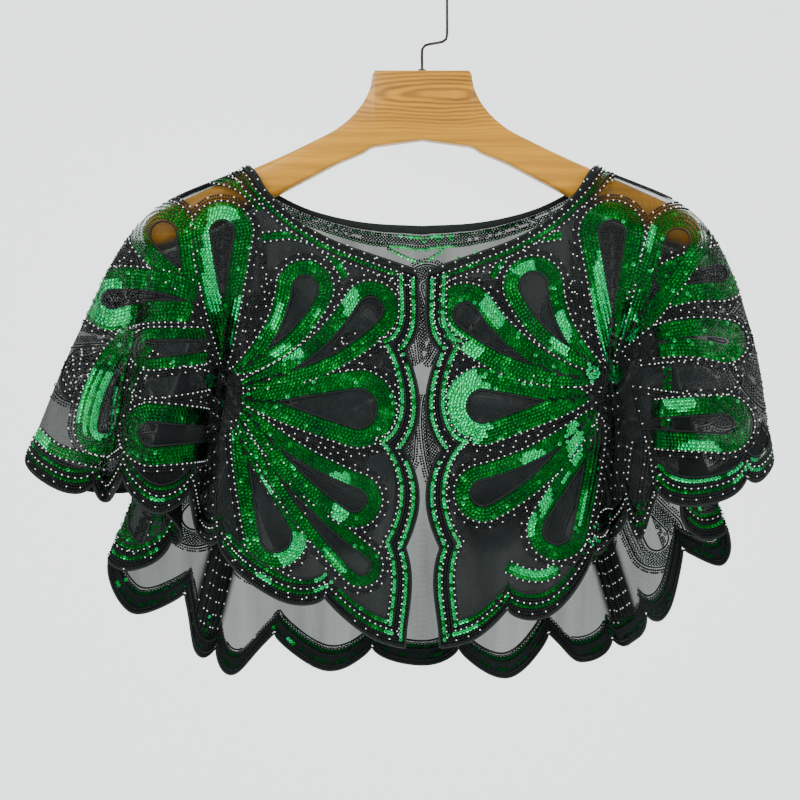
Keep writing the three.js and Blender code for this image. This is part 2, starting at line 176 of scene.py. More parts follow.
def hem_cut(u):
    """How far the hem cuts in at ring place u."""
    t = np.minimum(u, RING_END - u) / 2
    fullness = np.where(t < 1, arch((1 + t) / 2), arch(t % 1))
    return SCALLOP_DEPTH * (1 - np.clip(fullness, 0, 1) ** SCALLOP_ROUNDNESS)


def front_cut(v):
    """How far a centre-front edge cuts in at v."""
    stops = np.array((0, *FRONT_NOTCH_AT, 1))
    depths = np.array((0, *FRONT_NOTCH_DEPTH, 0))
    k = np.clip(np.searchsorted(stops, v, side="left") - 1, 0, len(stops) - 2)
    t = (v - stops[k]) / (stops[k + 1] - stops[k])
    return (depths[k] + (depths[k + 1] - depths[k]) * t) * (1 - arch(t))


def span_between(a, b):
    """Distances between two arrays of points."""
    return np.linalg.norm(a - b, axis=-1)


def arc_lengths(line):
    """The distance along a line at each of its points."""
    return np.concatenate(([0], np.cumsum(span_between(line[1:], line[:-1]))))


def values_at(at, along, table):
    """The columns of a table that follows a line, read at distances along it."""
    return np.stack([np.interp(at, along, column) for column in table.T], -1)


def spaced(line, step):
    """A line's points again, evenly spaced by about a step."""
    along = arc_lengths(line)
    count = max(2, int(along[-1] / step) + 1)
    return values_at(np.linspace(0, along[-1], count), along, line)


def scalloped(u, v):
    """The ring place and share down of a point once the scallops are drawn in."""
    u, v = np.broadcast_arrays(np.asarray(u, float), np.asarray(v, float))
    length = span_between(plain_cloth(u, np.ones_like(u)), plain_cloth(u, np.zeros_like(u)))
    down = v * (1 - hem_cut(u) / length)
    from_front = np.minimum(u, RING_END - u)
    edge = np.where(u < RING_END / 2, 0.0, float(RING_END))
    inner = np.where(u < RING_END / 2, 1.0, RING_END - 1.0)
    spacing = span_between(plain_cloth(edge, down), plain_cloth(inner, down))
    pull = (inner - edge) * (front_cut(down) / spacing) * np.clip(1 - from_front, 0, 1) ** 2
    return u + pull, down


def crease_depth(u, v):
    """How far the listed creases push the cloth in or out, in millimetres."""
    total = np.zeros(np.broadcast(u, v).shape)
    for place, top, bottom, half, depth in CREASES:
        across = np.clip(1 - np.abs(u - place - CREASE_SLANT * (v - top)) / half, 0, 1)
        along = np.clip((v - top) / (bottom - top), 0, 1)
        total += depth * across**2 * (3 - 2 * across) * np.sin(math.pi * along) ** CREASE_ROUNDNESS
    return total


NORMAL_STEP = 0.02


def cloth_normal(place, down):
    """Outward unit normal of the cloth."""
    u0, u1 = np.maximum(0, place - NORMAL_STEP), np.minimum(RING_END, place + NORMAL_STEP)
    v0, v1 = np.maximum(0, down - NORMAL_STEP), np.minimum(1, down + NORMAL_STEP)
    across = plain_cloth(u1, down) - plain_cloth(u0, down)
    along = plain_cloth(place, v1) - plain_cloth(place, v0)
    normal = np.cross(across, along)
    return normal / np.linalg.norm(normal, axis=-1, keepdims=True)


def cloth(u, v, lift=0.0):
    """Points on the cloth and its normals, in metres; lift moves them outwards."""
    place, down = scalloped(u, v)
    normal = cloth_normal(place, down)
    depth = np.broadcast_to(crease_depth(place, down), place.shape)
    return (plain_cloth(place, down) + normal * (depth[..., None] + lift)) * MM, normal


def cloth_length(u):
    """Straight distance in millimetres from neck to hem at ring place u."""
    top, _ = cloth(u, np.zeros_like(u))
    bottom, _ = cloth(u, np.ones_like(u))
    return span_between(top, bottom) / MM


# Making meshes and objects
def add_object(name, mesh):
    """An object of the mesh in the scene."""
    piece = bpy.data.objects.new(name, mesh)
    bpy.context.scene.collection.objects.link(piece)
    return piece


def mesh_from(bm, name, smooth=True):
    """A mesh made from a bmesh, which is freed."""
    for face in bm.faces:
        face.smooth = smooth
    mesh = bpy.data.meshes.new(name)
    bm.to_mesh(mesh)
    bm.free()
    return mesh


def dress(piece, material, replaced=()):
    """Gives a finished piece its material and its body."""
    piece.data.materials.clear()
    piece.data.materials.append(material)
    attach(piece, "root")
    if replaced:
        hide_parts(*replaced)
    return piece


def skin(bm, rings):
    """Joins rings of vertices by quads and closes both ends."""
    sides = len(rings[0])
    for before, after in zip(rings, rings[1:]):
        for s in range(sides):
            t = (s + 1) % sides
            bm.faces.new((before[s], before[t], after[t], after[s]))
    bm.faces.new(tuple(reversed(rings[0])))
    bm.faces.new(tuple(rings[-1]))


def realized(piece, name):
    """The piece as shown, modifiers applied, as a plain mesh object of the given name."""
    seen = piece.evaluated_get(bpy.context.evaluated_depsgraph_get())
    mesh = bpy.data.meshes.new_from_object(seen)
    bpy.data.objects.remove(piece)
    mesh.name = name
    return add_object(name, mesh)


# Metres of cloth for one ring place and for the whole length, which the net's UV map is drawn in.
UV_SCALE = (0.045, 0.33)


def sheet_grid(u_from, u_to, v_from, v_to, columns, rows, lift=0.0):
    """A grid mesh over the cloth, with ring place and share down as its UV map in metres of cloth."""
    bm = bmesh.new()
    bmesh.ops.create_grid(bm, x_segments=columns, y_segments=rows, size=0.5)
    bm.verts.index_update()
    flat = np.array([vert.co[:2] for vert in bm.verts])
    u = u_from + (u_to - u_from) * (flat[:, 0] + 0.5)
    v = v_from + (v_to - v_from) * (flat[:, 1] + 0.5)
    points, _ = cloth(u, v, lift)
    for vert, point in zip(bm.verts, points):
        vert.co = point
    layer = bm.loops.layers.uv.new("cloth")
    for face in bm.faces:
        for loop in face.loops:
            k = loop.vert.index
            loop[layer].uv = (u[k] * UV_SCALE[0], v[k] * UV_SCALE[1])
    bm.normal_update()
    return bm


# Shader nodes
def arithmetic(operation, swapped=False):
    """A method that joins a value to another number or value by a Math node."""

    def method(self, other):
        first, second = (other, self) if swapped else (self, other)
        return self.shader.node("ShaderNodeMath", {"operation": operation}, {0: first, 1: second})

    return method


class Value:
    """A node socket that takes part in Python arithmetic by adding Math nodes."""

    __add__, __radd__ = arithmetic("ADD"), arithmetic("ADD", swapped=True)
    __sub__, __rsub__ = arithmetic("SUBTRACT"), arithmetic("SUBTRACT", swapped=True)
    __mul__, __rmul__ = arithmetic("MULTIPLY"), arithmetic("MULTIPLY", swapped=True)

    def __init__(self, shader, socket):
        self.shader = shader
        self.socket = socket

    def alone(self, operation):
        """The result of an operation on this value by itself."""
        return self.shader.node("ShaderNodeMath", {"operation": operation}, {0: self})


class Shader:
    """A material's nodes: the Principled shader and what feeds it."""

    def __init__(self, name, color, roughness, **constants):
        self.material = bpy.data.materials.new(name)
        self.material.use_nodes = True
        self.tree = self.material.node_tree
        self.principled = self.tree.nodes["Principled BSDF"]
        self.set("Base Color", (*color, 1))
        self.set("Roughness", roughness)
        for key, value in constants.items():
            self.set(key.replace("_", " "), value)

    def feed(self, socket, value):
        """Links a value to a socket, or sets a plain number or colour on it."""
        if isinstance(value, Value):
            self.tree.links.new(value.socket, socket)
        else:
            socket.default_value = value

    def set(self, name, value):
        self.feed(self.principled.inputs[name], value)

    def node(self, kind, settings=None, inputs=None, output=0):
        """A new node with its settings and its sockets' values or links, as one of its outputs."""
        made = self.tree.nodes.new(kind)
        for key, value in (settings or {}).items():
            if key == "stops":
                self.set_stops(made.color_ramp.elements, value)
            else:
                setattr(made, key, value)
        for key, value in (inputs or {}).items():
            self.feed(made.inputs[key], value)
        return Value(self, made.outputs[output])

    def set_stops(self, elements, stops):
        """Places a ramp's stops, each a position with a colour or a grey."""
        while len(elements) < len(stops):
            elements.new(0.5)
        for element, (at, color) in zip(elements, stops):
            element.position = at
            element.color = (*color, 1) if hasattr(color, "__len__") else (color, color, color, 1)

    def ramp(self, value, *stops):
        return self.node("ShaderNodeValToRGB", {"stops": stops}, {0: value})

    def place(self):
        return self.node("ShaderNodeTexCoord", output="Object")

    def attribute(self, name):
        return self.node("ShaderNodeAttribute", {"attribute_name": name}, output="Fac")

    def split(self, vector):
        """The x, y and z of a vector."""
        x = self.node("ShaderNodeSeparateXYZ", None, {0: vector})
        return [Value(self, part) for part in x.socket.node.outputs]

    def noise(self, scale, detail=2.0, roughness=0.5, stretch=(1, 1, 1)):
        """Noise on object coordinates, finer along the axes that are stretched more."""
        moved = self.node("ShaderNodeMapping", None, {0: self.place(), "Scale": stretch})
        values = {"Vector": moved, "Scale": scale, "Detail": detail, "Roughness": roughness}
        return self.node("ShaderNodeTexNoise", None, values)

    def bump(self, height, strength, distance):
        values = {"Height": height, "Strength": strength, "Distance": distance}
        self.set("Normal", self.node("ShaderNodeBump", None, values))


def net_material(props):
    """Sheer black net: fine square mesh, faint pleats, seen through between its threads."""
    shader = Shader("black_net", props.net_color, 0.9, Specular_IOR_Level=0.03)
    x, y, _ = shader.split(shader.node("ShaderNodeUVMap", {"uv_map": "cloth"}))
    mesh = 2 * math.pi / props.net_mesh
    threads = ((x + y) * mesh).alone("SINE") * ((x - y) * mesh).alone("SINE")
    pleats = shader.noise(40, 3, 0.6, stretch=(1, 1, 0.12))
    # The cover is partly painted shade: the net is made denser than it is, to stand for the shade the
    # capelet would cast on a wall close behind it.
    cover = shader.attribute("weight") * props.net_cover_and_wall_shade - 0.09 + threads * 0.08 + pleats * 0.18
    shader.set("Alpha", cover)
    tone = shader.noise(18, 2)
    dim = tuple(c * 0.4 for c in props.net_color)
    shader.set("Base Color", shader.ramp(tone, (0.35, dim), (0.7, tuple(props.net_color))))
    shader.bump(threads, 0.3, 0.0003)
    return shader.material


def sequin_material(props):
    """Green metallic sequins, whose shade attribute paints light and shade into their colour, from deep
    shadow green to a bright painted glint.
    """
    shader = Shader("green_sequin", (0, 0.2, 0.05), 0.3, Metallic=1.0)
    grain = shader.noise(900, 1)
    # The shade attribute is painted light and shade; the grain adds a little random change of tone from
    # sequin to sequin.
    tone = shader.attribute("shade") + (grain - 0.5) * 0.10
    dark, mid, light, glint = props.sequin_dark, props.sequin_mid, props.sequin_light, props.sequin_glint
    color = shader.ramp(tone, (0.0, dark), (0.38, mid), (0.62, light), (0.95, glint))
    shader.set("Base Color", color)
    shader.set("Roughness", shader.ramp(grain, (0.3, 0.22), (0.7, 0.36)))
    # Sequins painted to glint also glow a little: a painted glint.
    shader.set("Emission Color", shader.ramp(tone, (0.62, (0, 0, 0)), (0.97, props.sequin_glint)))
    shader.set("Emission Strength", 0.2)
    return shader.material


def bead_material(name, color, roughness, metallic, spread):
    """Glass seed beads with a little change of tone from bead to bead."""
    shader = Shader(name, color, roughness, Metallic=metallic, Specular_IOR_Level=0.12)
    tone = shader.noise(420, 1)
    dim = tuple(c * (1 - spread) for c in color)
    shader.set("Base Color", shader.ramp(tone, (0.35, dim), (0.65, tuple(color))))
    return shader.material


def thread_material(name, color, roughness):
    """Twisted cord or woven tape: fine ribs over a dark yarn, their crests painted lighter as a painted
    highlight.
    """
    shader = Shader(name, color, roughness, Specular_IOR_Level=0.08)
    ribs = shader.noise(1400, 2, stretch=(1, 1, 2.5))
    # The ribs' lighter crests are a painted highlight.
    lit = tuple(c * 2.6 + 0.002 for c in color)
    shader.set("Base Color", shader.ramp(ribs, (0.35, tuple(color)), (0.72, lit)))
    shader.bump(ribs, 0.6, 0.0004)
    return shader.material


def wood_material(props):
    """Honey-coloured wood: rings of a flat-sawn board, fine pores and a satin lacquer."""
    shader = Shader("honey_wood", props.wood_color, 0.40, Specular_IOR_Level=0.3)
    x, y, z = shader.split(shader.place())
    warp = shader.noise(14, 3, stretch=(1.0, 1.0, 2.2))
    # Long ovals about a point in the head give the cathedral grain of the middle.
    aside, above = x - 0.012, z + 0.109
    from_heart = (aside * aside * 0.16 + above * above * 6.0 + y * y * 2.0).alone("SQRT")
    rings = (from_heart * 900 + warp * 16).alone("SINE")
    streaks = shader.noise(120, 4, 0.6, stretch=(0.06, 1, 1.6))
    pores = shader.noise(1500, 1, stretch=(0.05, 1, 1))
    near = shader.ramp(from_heart, (0.0, 1.0), (0.045, 0.75), (0.085, 0.12), (0.2, 0.05))
    tone = streaks * 0.75 + (rings * 0.5 + 0.5) * near * 0.34 - 0.05
    pale, honey, dark = props.wood_pale, props.wood_color, props.wood_dark
    shader.set("Base Color", shader.ramp(tone, (0.22, pale), (0.45, honey), (0.72, dark)))
    shader.set("Roughness", shader.ramp(pores, (0.35, 0.46), (0.6, 0.32)))
    shader.bump(pores * 0.6 + streaks * 0.4, 0.12, 0.0004)
    return shader.material


def wire_material():
    """Dark plated steel wire."""
    shader = Shader("dark_wire", (0.03, 0.028, 0.026), 0.34, Metallic=0.85)
    wear = shader.noise(160, 3, stretch=(1, 1, 0.2))
    color = shader.ramp(wear, (0.4, (0.018, 0.017, 0.016)), (0.75, (0.075, 0.07, 0.066)))
    shader.set("Base Color", color)
    shader.set("Roughness", shader.ramp(wear, (0.3, 0.28), (0.7, 0.46)))
    return shader.material


# Sizes of the sewn-on work, in millimetres
ROW_SPACING = 2.65
SEQUIN_PITCH = 2.75
SEQUIN_SIZE = 3.15
BEAD_SIZE = 2.0
BEAD_PITCH = 2.05
SILVER_SIZE = 1.15
SILVER_EVERY = 5
# For each kind: its pitch along a row, the room that one keeps clear, and its height over the cloth.
# A sequin's rim overlaps the next one's, so it keeps less room than its size.
SEWN = {
    "sequin": (SEQUIN_PITCH, SEQUIN_SIZE * 0.72, 0.9),
    "bead": (BEAD_PITCH, BEAD_SIZE * 0.86, 0.9),
    "silver": (4.7, SILVER_SIZE, 1.9),
}
FOLD_SEQUIN_ROOM = SEQUIN_SIZE * 0.85
SEWING_JITTER = 0.12
PIPING_RADIUS = 0.8
PIPING_STEP = 2.6
PIPING_CLEAR = 1.7


# Runs of work on the cloth. A run is a close line of points and outward normals, in metres.
CAMERA_PLACE = Vector((-0.0172, -1.230, -0.3463))


def resampled(points, normals, pitch):
    """Points, normals and directions along a run at an even pitch."""
    along = arc_lengths(points)
    count = int(along[-1] / pitch)
    if count < 1:
        return []
    at = (along[-1] - count * pitch) / 2 + pitch * np.arange(count + 1)
    place, normal = values_at(at, along, points), values_at(at, along, normals)
    ahead, behind = (values_at(at + side * pitch / 4, along, points) for side in (1, -1))
    return [(Vector(p), Vector(n), Vector(t)) for p, n, t in zip(place, normal, ahead - behind)]


def cloth_run(u, v):
    """One run along the cloth through arrays of ring places and shares down."""
    return cloth(*np.broadcast_arrays(np.asarray(u, float), np.asarray(v, float)))


SEEN_FACING = 0.22  # cloth turned further from the eye than this takes no motif
LONGEST_STRIDE = 5  # a run breaks where it leaps more than this many steps, from fold to fold


class Caster:
    """Lays lines drawn on the hanger's plane on whichever cloth is seen first, from front or back."""

    COLUMNS = 540
    ROWS = 90

    def __init__(self, from_back):
        self.from_back = from_back
        u, v = np.meshgrid(
            np.linspace(0, RING_END, self.COLUMNS + 1), np.linspace(0, 1, self.ROWS + 1), indexing="ij"
        )
        self.points, self.normals = cloth(u.ravel(), v.ravel())
        row = self.ROWS + 1
        corner = (np.arange(self.COLUMNS)[:, None] * row + np.arange(self.ROWS)[None, :]).ravel()
        halves = ((corner, corner + 1, corner + row + 1), (corner, corner + row + 1, corner + row))
        self.faces = np.concatenate([np.stack(half, -1) for half in halves])
        self.tree = BVHTree.FromPolygons(self.points.tolist(), self.faces.tolist())

    def cast(self, x, drop):
        """The point and outward normal under a place given in millimetres, or None off the cloth."""
        target = Vector((x * MM, 0, -drop * MM))
        start = target + Vector((0, 0.5, 0)) if self.from_back else CAMERA_PLACE
        ray = (target - start).normalized()
        point, _, index, _ = self.tree.ray_cast(start, ray)
        if point is None:
            return None
        corners = self.faces[index]
        weights = 1 / (span_between(self.points[corners], np.array(point)) + 1e-6)
        normal = Vector((self.normals[corners] * weights[:, None]).sum(0)).normalized()
        return (point, normal) if normal.dot(ray) < -SEEN_FACING else None

    def runs(self, line, step=1.2):
        """Runs along a line of (x, drop) points in millimetres, broken where the cloth folds away."""
        found, run = [], []
        for x, drop in spaced(np.asarray(line, float), step):
            hit = self.cast(x, drop)
            if run and (not hit or (hit[0] - run[-1][0]).length > LONGEST_STRIDE * step * MM):
                found.append(run)
                run = []
            if hit:
                run.append(hit)
        found.append(run)
        return [
            (np.array([p for p, _ in run]), np.array([n for _, n in run]))
            for run in found
            if len(run) > 2
        ]


class Work:
    """The sewn-on pieces gathered so far, kept clear of one another."""

    CELL = 3.0 * MM
    STEPS = tuple(itertools.product((-1, 0, 1), repeat=3))

    def __init__(self, seed):
        self.random = random.Random(seed)
        self.spots = {}
        self.taken = {}
        self.lines = []

    def cell(self, point):
        """The cell of space that a point lies in."""
        return tuple(math.floor(c / self.CELL) for c in point)

    def near(self, point):
        """What has been sewn about a point: places, each with the room it keeps clear."""
        i, j, k = self.cell(point)
        for a, b, c in self.STEPS:
            yield from self.taken.get((i + a, j + b, k + c), ())

    def free(self, point, gap):
        """Takes a place and says so, unless something sewn is too near it."""
        if any((other - point).length < (gap + room) / 2 for other, room in self.near(point)):
            return False
        self.taken.setdefault(self.cell(point), []).append((point, gap))
        return True

    def crowded(self, point, gap):
        """Whether something sewn lies within the gap of a point."""
        return any((other - point).length < gap for other, _ in self.near(point))

    def sew(self, kind, run, shade=None, room=None):
        """Sews one kind of small piece along a run."""
        if isinstance(shade, Shade):
            shade.start_row(self.random)
        pitch, usual_room, lift = SEWN[kind]
        for point, normal, along in resampled(*run, pitch * MM):
            jitter = [self.random.uniform(-SEWING_JITTER, SEWING_JITTER) * MM for _ in range(3)]
            point = point + normal.normalized() * lift * MM + Vector(jitter)
            if not self.free(point, (room or usual_room) * MM):
                continue
            value = 0.5 if shade is None else shade(point, self.random)
            self.spots.setdefault(kind, []).append((point, normal, along, value))

    def pipe(self, run, lift=0.7):
        """A piped line along a run, left out where other work lies in its way."""
        parts = [[]]
        for point, normal, _ in resampled(*run, PIPING_STEP * MM):
            place = point + normal.normalized() * lift * MM
            if self.crowded(place, PIPING_CLEAR * MM):
                parts.append([])
            else:
                parts[-1].append(place)
        self.lines += [np.array(part) for part in parts if len(part) > 2]

    def sew_mixed(self, run):
        """A row of black seed beads with a silver one after every few."""
        pitch, room, lift = SEWN["bead"]
        for number, (point, normal, along) in enumerate(resampled(*run, pitch * MM)):
            kind = "silver" if number % SILVER_EVERY == 0 else "bead"
            point = point + normal.normalized() * lift * MM
            if self.free(point, room * MM):
                self.spots.setdefault(kind, []).append((point, normal, along, 0.5))


def turned(normal, along, tilt, lean):
    """Euler turn of a piece that lies on the cloth, tipped along and across its row."""
    z = normal.normalized()
    x = along - z * along.dot(z)
    x = x.normalized() if x.length > 1e-9 else z.orthogonal().normalized()
    y = z.cross(x)
    base = Matrix((x, y, z)).transposed()
    return (base @ Euler((lean, tilt, 0)).to_matrix()).to_euler()


TILT_SPREAD = 0.06
SIZE_SPREAD = (0.94, 1.05)


def scatter(name, spots, stamp, size, tilt, seed):
    """A plain mesh of one stamp for each spot, placed by Geometry Nodes and realized."""
    rng = random.Random(seed)
    mesh = bpy.data.meshes.new(name)
    mesh.from_pydata([spot[0] for spot in spots], [], [])
    turns, sizes = [], []
    for _, normal, along, _ in spots:
        turns.extend(turned(normal, along, rng.gauss(tilt, TILT_SPREAD), rng.gauss(0, TILT_SPREAD)))
        sizes.append(size * rng.uniform(*SIZE_SPREAD))
    shades = [spot[3] for spot in spots]
    for label, kind, values, field in (
        ("turn", "FLOAT_VECTOR", turns, "vector"),
        ("size", "FLOAT", sizes, "value"),
        ("shade", "FLOAT", shades, "value"),
    ):
        mesh.attributes.new(label, kind, "POINT").data.foreach_set(field, values)
    piece = add_object(name + "_spots", mesh)
    stamp_object = add_object(name + "_stamp", stamp)

    tree = bpy.data.node_groups.new(name, "GeometryNodeTree")
    for way in ("INPUT", "OUTPUT"):
        tree.interface.new_socket("Geometry", in_out=way, socket_type="NodeSocketGeometry")
    entry, leave = tree.nodes.new("NodeGroupInput"), tree.nodes.new("NodeGroupOutput")
    copies = tree.nodes.new("GeometryNodeInstanceOnPoints")
    made = tree.nodes.new("GeometryNodeRealizeInstances")
    shape = tree.nodes.new("GeometryNodeObjectInfo")
    shape.inputs["Object"].default_value = stamp_object
    for label, kind, socket in (("turn", "FLOAT_VECTOR", "Rotation"), ("size", "FLOAT", "Scale")):
        read = tree.nodes.new("GeometryNodeInputNamedAttribute")
        read.data_type = kind
        read.inputs["Name"].default_value = label
        tree.links.new(read.outputs["Attribute"], copies.inputs[socket])
    for giver, taker in (
        (entry.outputs[0], copies.inputs["Points"]),
        (shape.outputs["Geometry"], copies.inputs["Instance"]),
        (copies.outputs["Instances"], made.inputs["Geometry"]),
        (made.outputs["Geometry"], leave.inputs[0]),
    ):
        tree.links.new(giver, taker)
    piece.modifiers.new("scatter", "NODES").node_group = tree
    result = realized(piece, name)
    bpy.data.objects.remove(stamp_object)
    return result


def sequin_stamp():
    """A cupped sequin of unit diameter with a small hole."""
    bm = bmesh.new()
    sides = 8
    rings = []
    for radius, height in ((0.17, -0.03), (0.5, 0.05)):
        angles = [2 * math.pi * k / sides for k in range(sides)]
        rings.append([bm.verts.new((radius * math.cos(a), radius * math.sin(a), height)) for a in angles])
    inner, rim = rings
    for k in range(sides):
        after = (k + 1) % sides
        bm.faces.new((inner[k], rim[k], rim[after], inner[after]))
    return mesh_from(bm, "sequin_stamp", smooth=False)


def bead_stamp():
    """A seed bead of unit diameter."""
    bm = bmesh.new()
    bmesh.ops.create_icosphere(bm, subdivisions=1, radius=0.5)
    return mesh_from(bm, "bead_stamp")


def tube_mesh(name, lines, radius, sides, step):
    """Tubes along lines of points, closed at both ends."""
    bm = bmesh.new()
    for line in lines:
        line = spaced(line, step)
        ahead = np.gradient(line, axis=0)
        side = Vector(ahead[0]).orthogonal().normalized()
        rings = []
        for point, direction in zip(line, ahead):
            direction = Vector(direction)
            if direction.length < 1e-9:
                continue
            direction.normalize()
            side = (side - direction * side.dot(direction)).normalized()
            other = direction.cross(side)
            ring = []
            for s in range(sides):
                angle = 2 * math.pi * s / sides
                offset = side * radius * math.cos(angle) + other * radius * math.sin(angle)
                ring.append(bm.verts.new(Vector(point) + offset))
            rings.append(ring)
        if len(rings) > 1:
            skin(bm, rings)
    return mesh_from(bm, name)


# Cloth pieces
PANELS = (
    ("front_left_net", 0, LEFT_SEAM, (0.38, 0.33), 0.089),
    ("back_net", LEFT_SEAM, RIGHT_SEAM, (0.62, 0.36), 0.176),
    ("front_right_net", RIGHT_SEAM, RING_END, (0.38, 0.33), 0.087),
)
COLUMNS_PER_PLACE = 8
PANEL_ROWS = 90

# How dense the net is, as a share of one plain layer's cover. It is sheer where it lies on the
# hanger's arms, and it fades from front to wing.
FRONT_WEIGHT = 1.06
WING_WEIGHT = 0.86
SHOULDER_WEIGHT = 0.46
EDGE_WEIGHT = 1.5
EDGE_BAND = 12.0
EDGE_FADE = 3.0
PLACE_WIDTH = 32  # about how many millimetres one ring place spans at centre front
# The crest over each arm of the hanger: its ring place, and how far down it is seen edge-on
CRESTS = ((12.0, 0.21), (43.0, 0.19))
CREST_WEIGHT = 1.3
CREST_BAND = (0.75, 0.3)  # ring places from the crest to where it is plain, and how softly
# Where each change of weight ends and over how many millimetres it fades
BELOW_ARM = (1, 5)
ARM_INNER = (128, 10)
ARM_OUTER = (230, 8)
WING_INNER = (195, 30)
# Beaded bands that run up beside the side folds of the back, by ring place
SIDE_BANDS = ((20.6, 21.8), (32.3, 33.4))
SIDE_BAND_TOP = 0.45
SIDE_BAND_SPACING = 2.4


def ramp_down(value, end, fade):
    """1 well below the end, 0 from there on, with a straight fade between."""
    return np.clip((end - value) / fade, 0, 1)


def ramp_up(value, start, fade):
    """0 up to the start, then a straight rise to 1."""
    return ramp_down(-value, -start, fade)


def net_weight(mesh):
    """How dense the net is at each vertex: sheer over the arms, backed by beadwork at the edges."""
    uv = np.zeros((len(mesh.vertices), 2))
    for loop, flat in zip(mesh.loops, mesh.uv_layers["cloth"].uv):
        uv[loop.vertex_index] = flat.vector
    u, v = uv[:, 0] / UV_SCALE[0], uv[:, 1] / UV_SCALE[1]
    out = np.abs([vert.co.x for vert in mesh.vertices]) / MM
    drop = -np.array([vert.co.z for vert in mesh.vertices]) / MM

    arm_foot = np.interp(out, [row[0] for row in HANGER_SECTIONS], [row[2] for row in HANGER_SECTIONS])
    below, fade = BELOW_ARM
    sheer = ramp_down(drop, arm_foot + below, fade) * ramp_up(out, *ARM_INNER) * ramp_down(out, *ARM_OUTER)
    on_back = (u >= LEFT_SEAM) & (u <= RIGHT_SEAM)
    front = FRONT_WEIGHT + (WING_WEIGHT - FRONT_WEIGHT) * ramp_up(out, *WING_INNER)
    plain = np.where(on_back, 1, front)
    weight = plain + (SHOULDER_WEIGHT - plain) * sheer
    for crest, end in CRESTS:
        near = ramp_down(np.abs(u - crest), *CREST_BAND) * ramp_down(v, end, 0.02)
        weight = weight + (CREST_WEIGHT - weight) * near

    from_hem = (1 - v) * cloth_length(u)
    from_front = np.minimum(u, RING_END - u) * PLACE_WIDTH
    band = ramp_down(np.minimum(from_hem, from_front), EDGE_BAND + EDGE_FADE, EDGE_FADE)
    for u_from, u_to in SIDE_BANDS:
        inside = np.clip(1.5 - np.abs(2 * u - u_from - u_to) / (u_to - u_from), 0, 1)
        band = np.maximum(band, inside * ramp_up(v, SIDE_BAND_TOP, 0.1))
    return weight + (EDGE_WEIGHT - weight) * band


def make_net_panels(props):
    """The three net panels, each with its flat size and area."""
    material = net_material(props)
    made = []
    for node, u_from, u_to, flat, area in PANELS:
        columns = int((u_to - u_from) * COLUMNS_PER_PLACE)
        bm = sheet_grid(u_from, u_to, BINDING_SHARE * 0.6, 1, columns, PANEL_ROWS)
        mesh = mesh_from(bm, "net_" + node)
        mesh.attributes.new("weight", "FLOAT", "POINT").data.foreach_set("value", net_weight(mesh))
        panel = add_object("net_" + node, mesh)
        dress(panel, material, [node])
        made.append((panel, flat, area))
    return made


TAPE_HALF_THICK = 1.15
TAPE_SQUARENESS = 0.6  # 1 gives an oval section, and less a squarer one
TAPE_SIDES = 12


def band_section(half_height):
    """The rounded section of a folded tape, as places down and out from its middle."""
    found = []
    for k in range(TAPE_SIDES):
        angle = 2 * math.pi * k / TAPE_SIDES
        turns = (math.cos(angle), math.sin(angle))
        down, out = (math.copysign(abs(c) ** TAPE_SQUARENESS, c) for c in turns)
        found.append((half_height * down, TAPE_HALF_THICK * MM * out))
    return found


def swept_band(name, u_from, u_to, columns):
    """A tape folded over the neck edge between two ring places."""
    u = np.linspace(u_from, u_to, columns + 1)
    top, _ = cloth(u, np.zeros_like(u))
    low, _ = cloth(u, np.full_like(u, BINDING_SHARE * 0.92))
    middle = (top + low) / 2
    _, normal = cloth(u, np.full_like(u, BINDING_SHARE / 2))
    width = span_between(low, top)
    down = (low - top) / width[:, None]
    bm = bmesh.new()
    rings = [
        [bm.verts.new(middle[k] + down[k] * h + normal[k] * t) for h, t in band_section(width[k] / 2)]
        for k in range(len(u))
    ]
    skin(bm, rings)
    bmesh.ops.recalc_face_normals(bm, faces=bm.faces)
    return mesh_from(bm, name)


BINDINGS = (
    ("neck_binding_left", 0.02, LEFT_SEAM - 0.02),
    ("neck_binding_back", LEFT_SEAM + 0.02, RIGHT_SEAM - 0.02),
    ("neck_binding_right", RIGHT_SEAM + 0.02, RING_END - 0.02),
)


def make_bindings():
    """The tapes that bind the neck."""
    material = thread_material("black_tape", (0.004, 0.006, 0.005), 0.7)
    made = []
    for node, u_from, u_to in BINDINGS:
        columns = int((u_to - u_from) * 7)
        piece = add_object("tape_" + node, swept_band("tape_" + node, u_from, u_to, columns))
        made.append(dress(piece, material, [node]))
    return made


CORD_RADIUS = 1.1
CORD_STEP = 2.2
CORD_OUT = 0.7
SEAM_GAP = 0.03  # ring places left free at a seam
# Where the cloth just inside an edge is read, by ring place and by share down.
INNER_PLACE = 0.12
INNER_SHARE = 0.985


def edge_points(places):
    """Cord centres just off the cloth's edge, for places given as edge u, v and inner u, v."""
    places = np.array(places, float)
    edge, _ = cloth(places[:, 0], places[:, 1])
    inner, _ = cloth(places[:, 2], places[:, 3])
    away = edge - inner
    away /= np.linalg.norm(away, axis=-1, keepdims=True)
    return edge + away * CORD_OUT * MM


def edge_places(side):
    """Edge and inner places down a front's edge and along its hem, or along the back hem."""
    if side == "back":
        hem = np.linspace(LEFT_SEAM + SEAM_GAP, RIGHT_SEAM - SEAM_GAP, 420)
        return [(u, 1, u, INNER_SHARE) for u in hem]
    edge, inner, seam = 0.0, INNER_PLACE, LEFT_SEAM - SEAM_GAP
    if side == "right":
        edge, inner, seam = RING_END, RING_END - INNER_PLACE, RIGHT_SEAM + SEAM_GAP
    down = [(edge, v, inner, v) for v in np.linspace(BINDING_SHARE + 0.004, 0.995, 130)]
    hem = np.linspace(edge + (seam - edge) * 0.006, seam, 230)
    return down + [(edge, 1, inner, INNER_SHARE)] + [(u, 1, u, INNER_SHARE) for u in hem]


EDGINGS = (("front_left_edging", "left"), ("front_right_edging", "right"), ("back_edging", "back"))


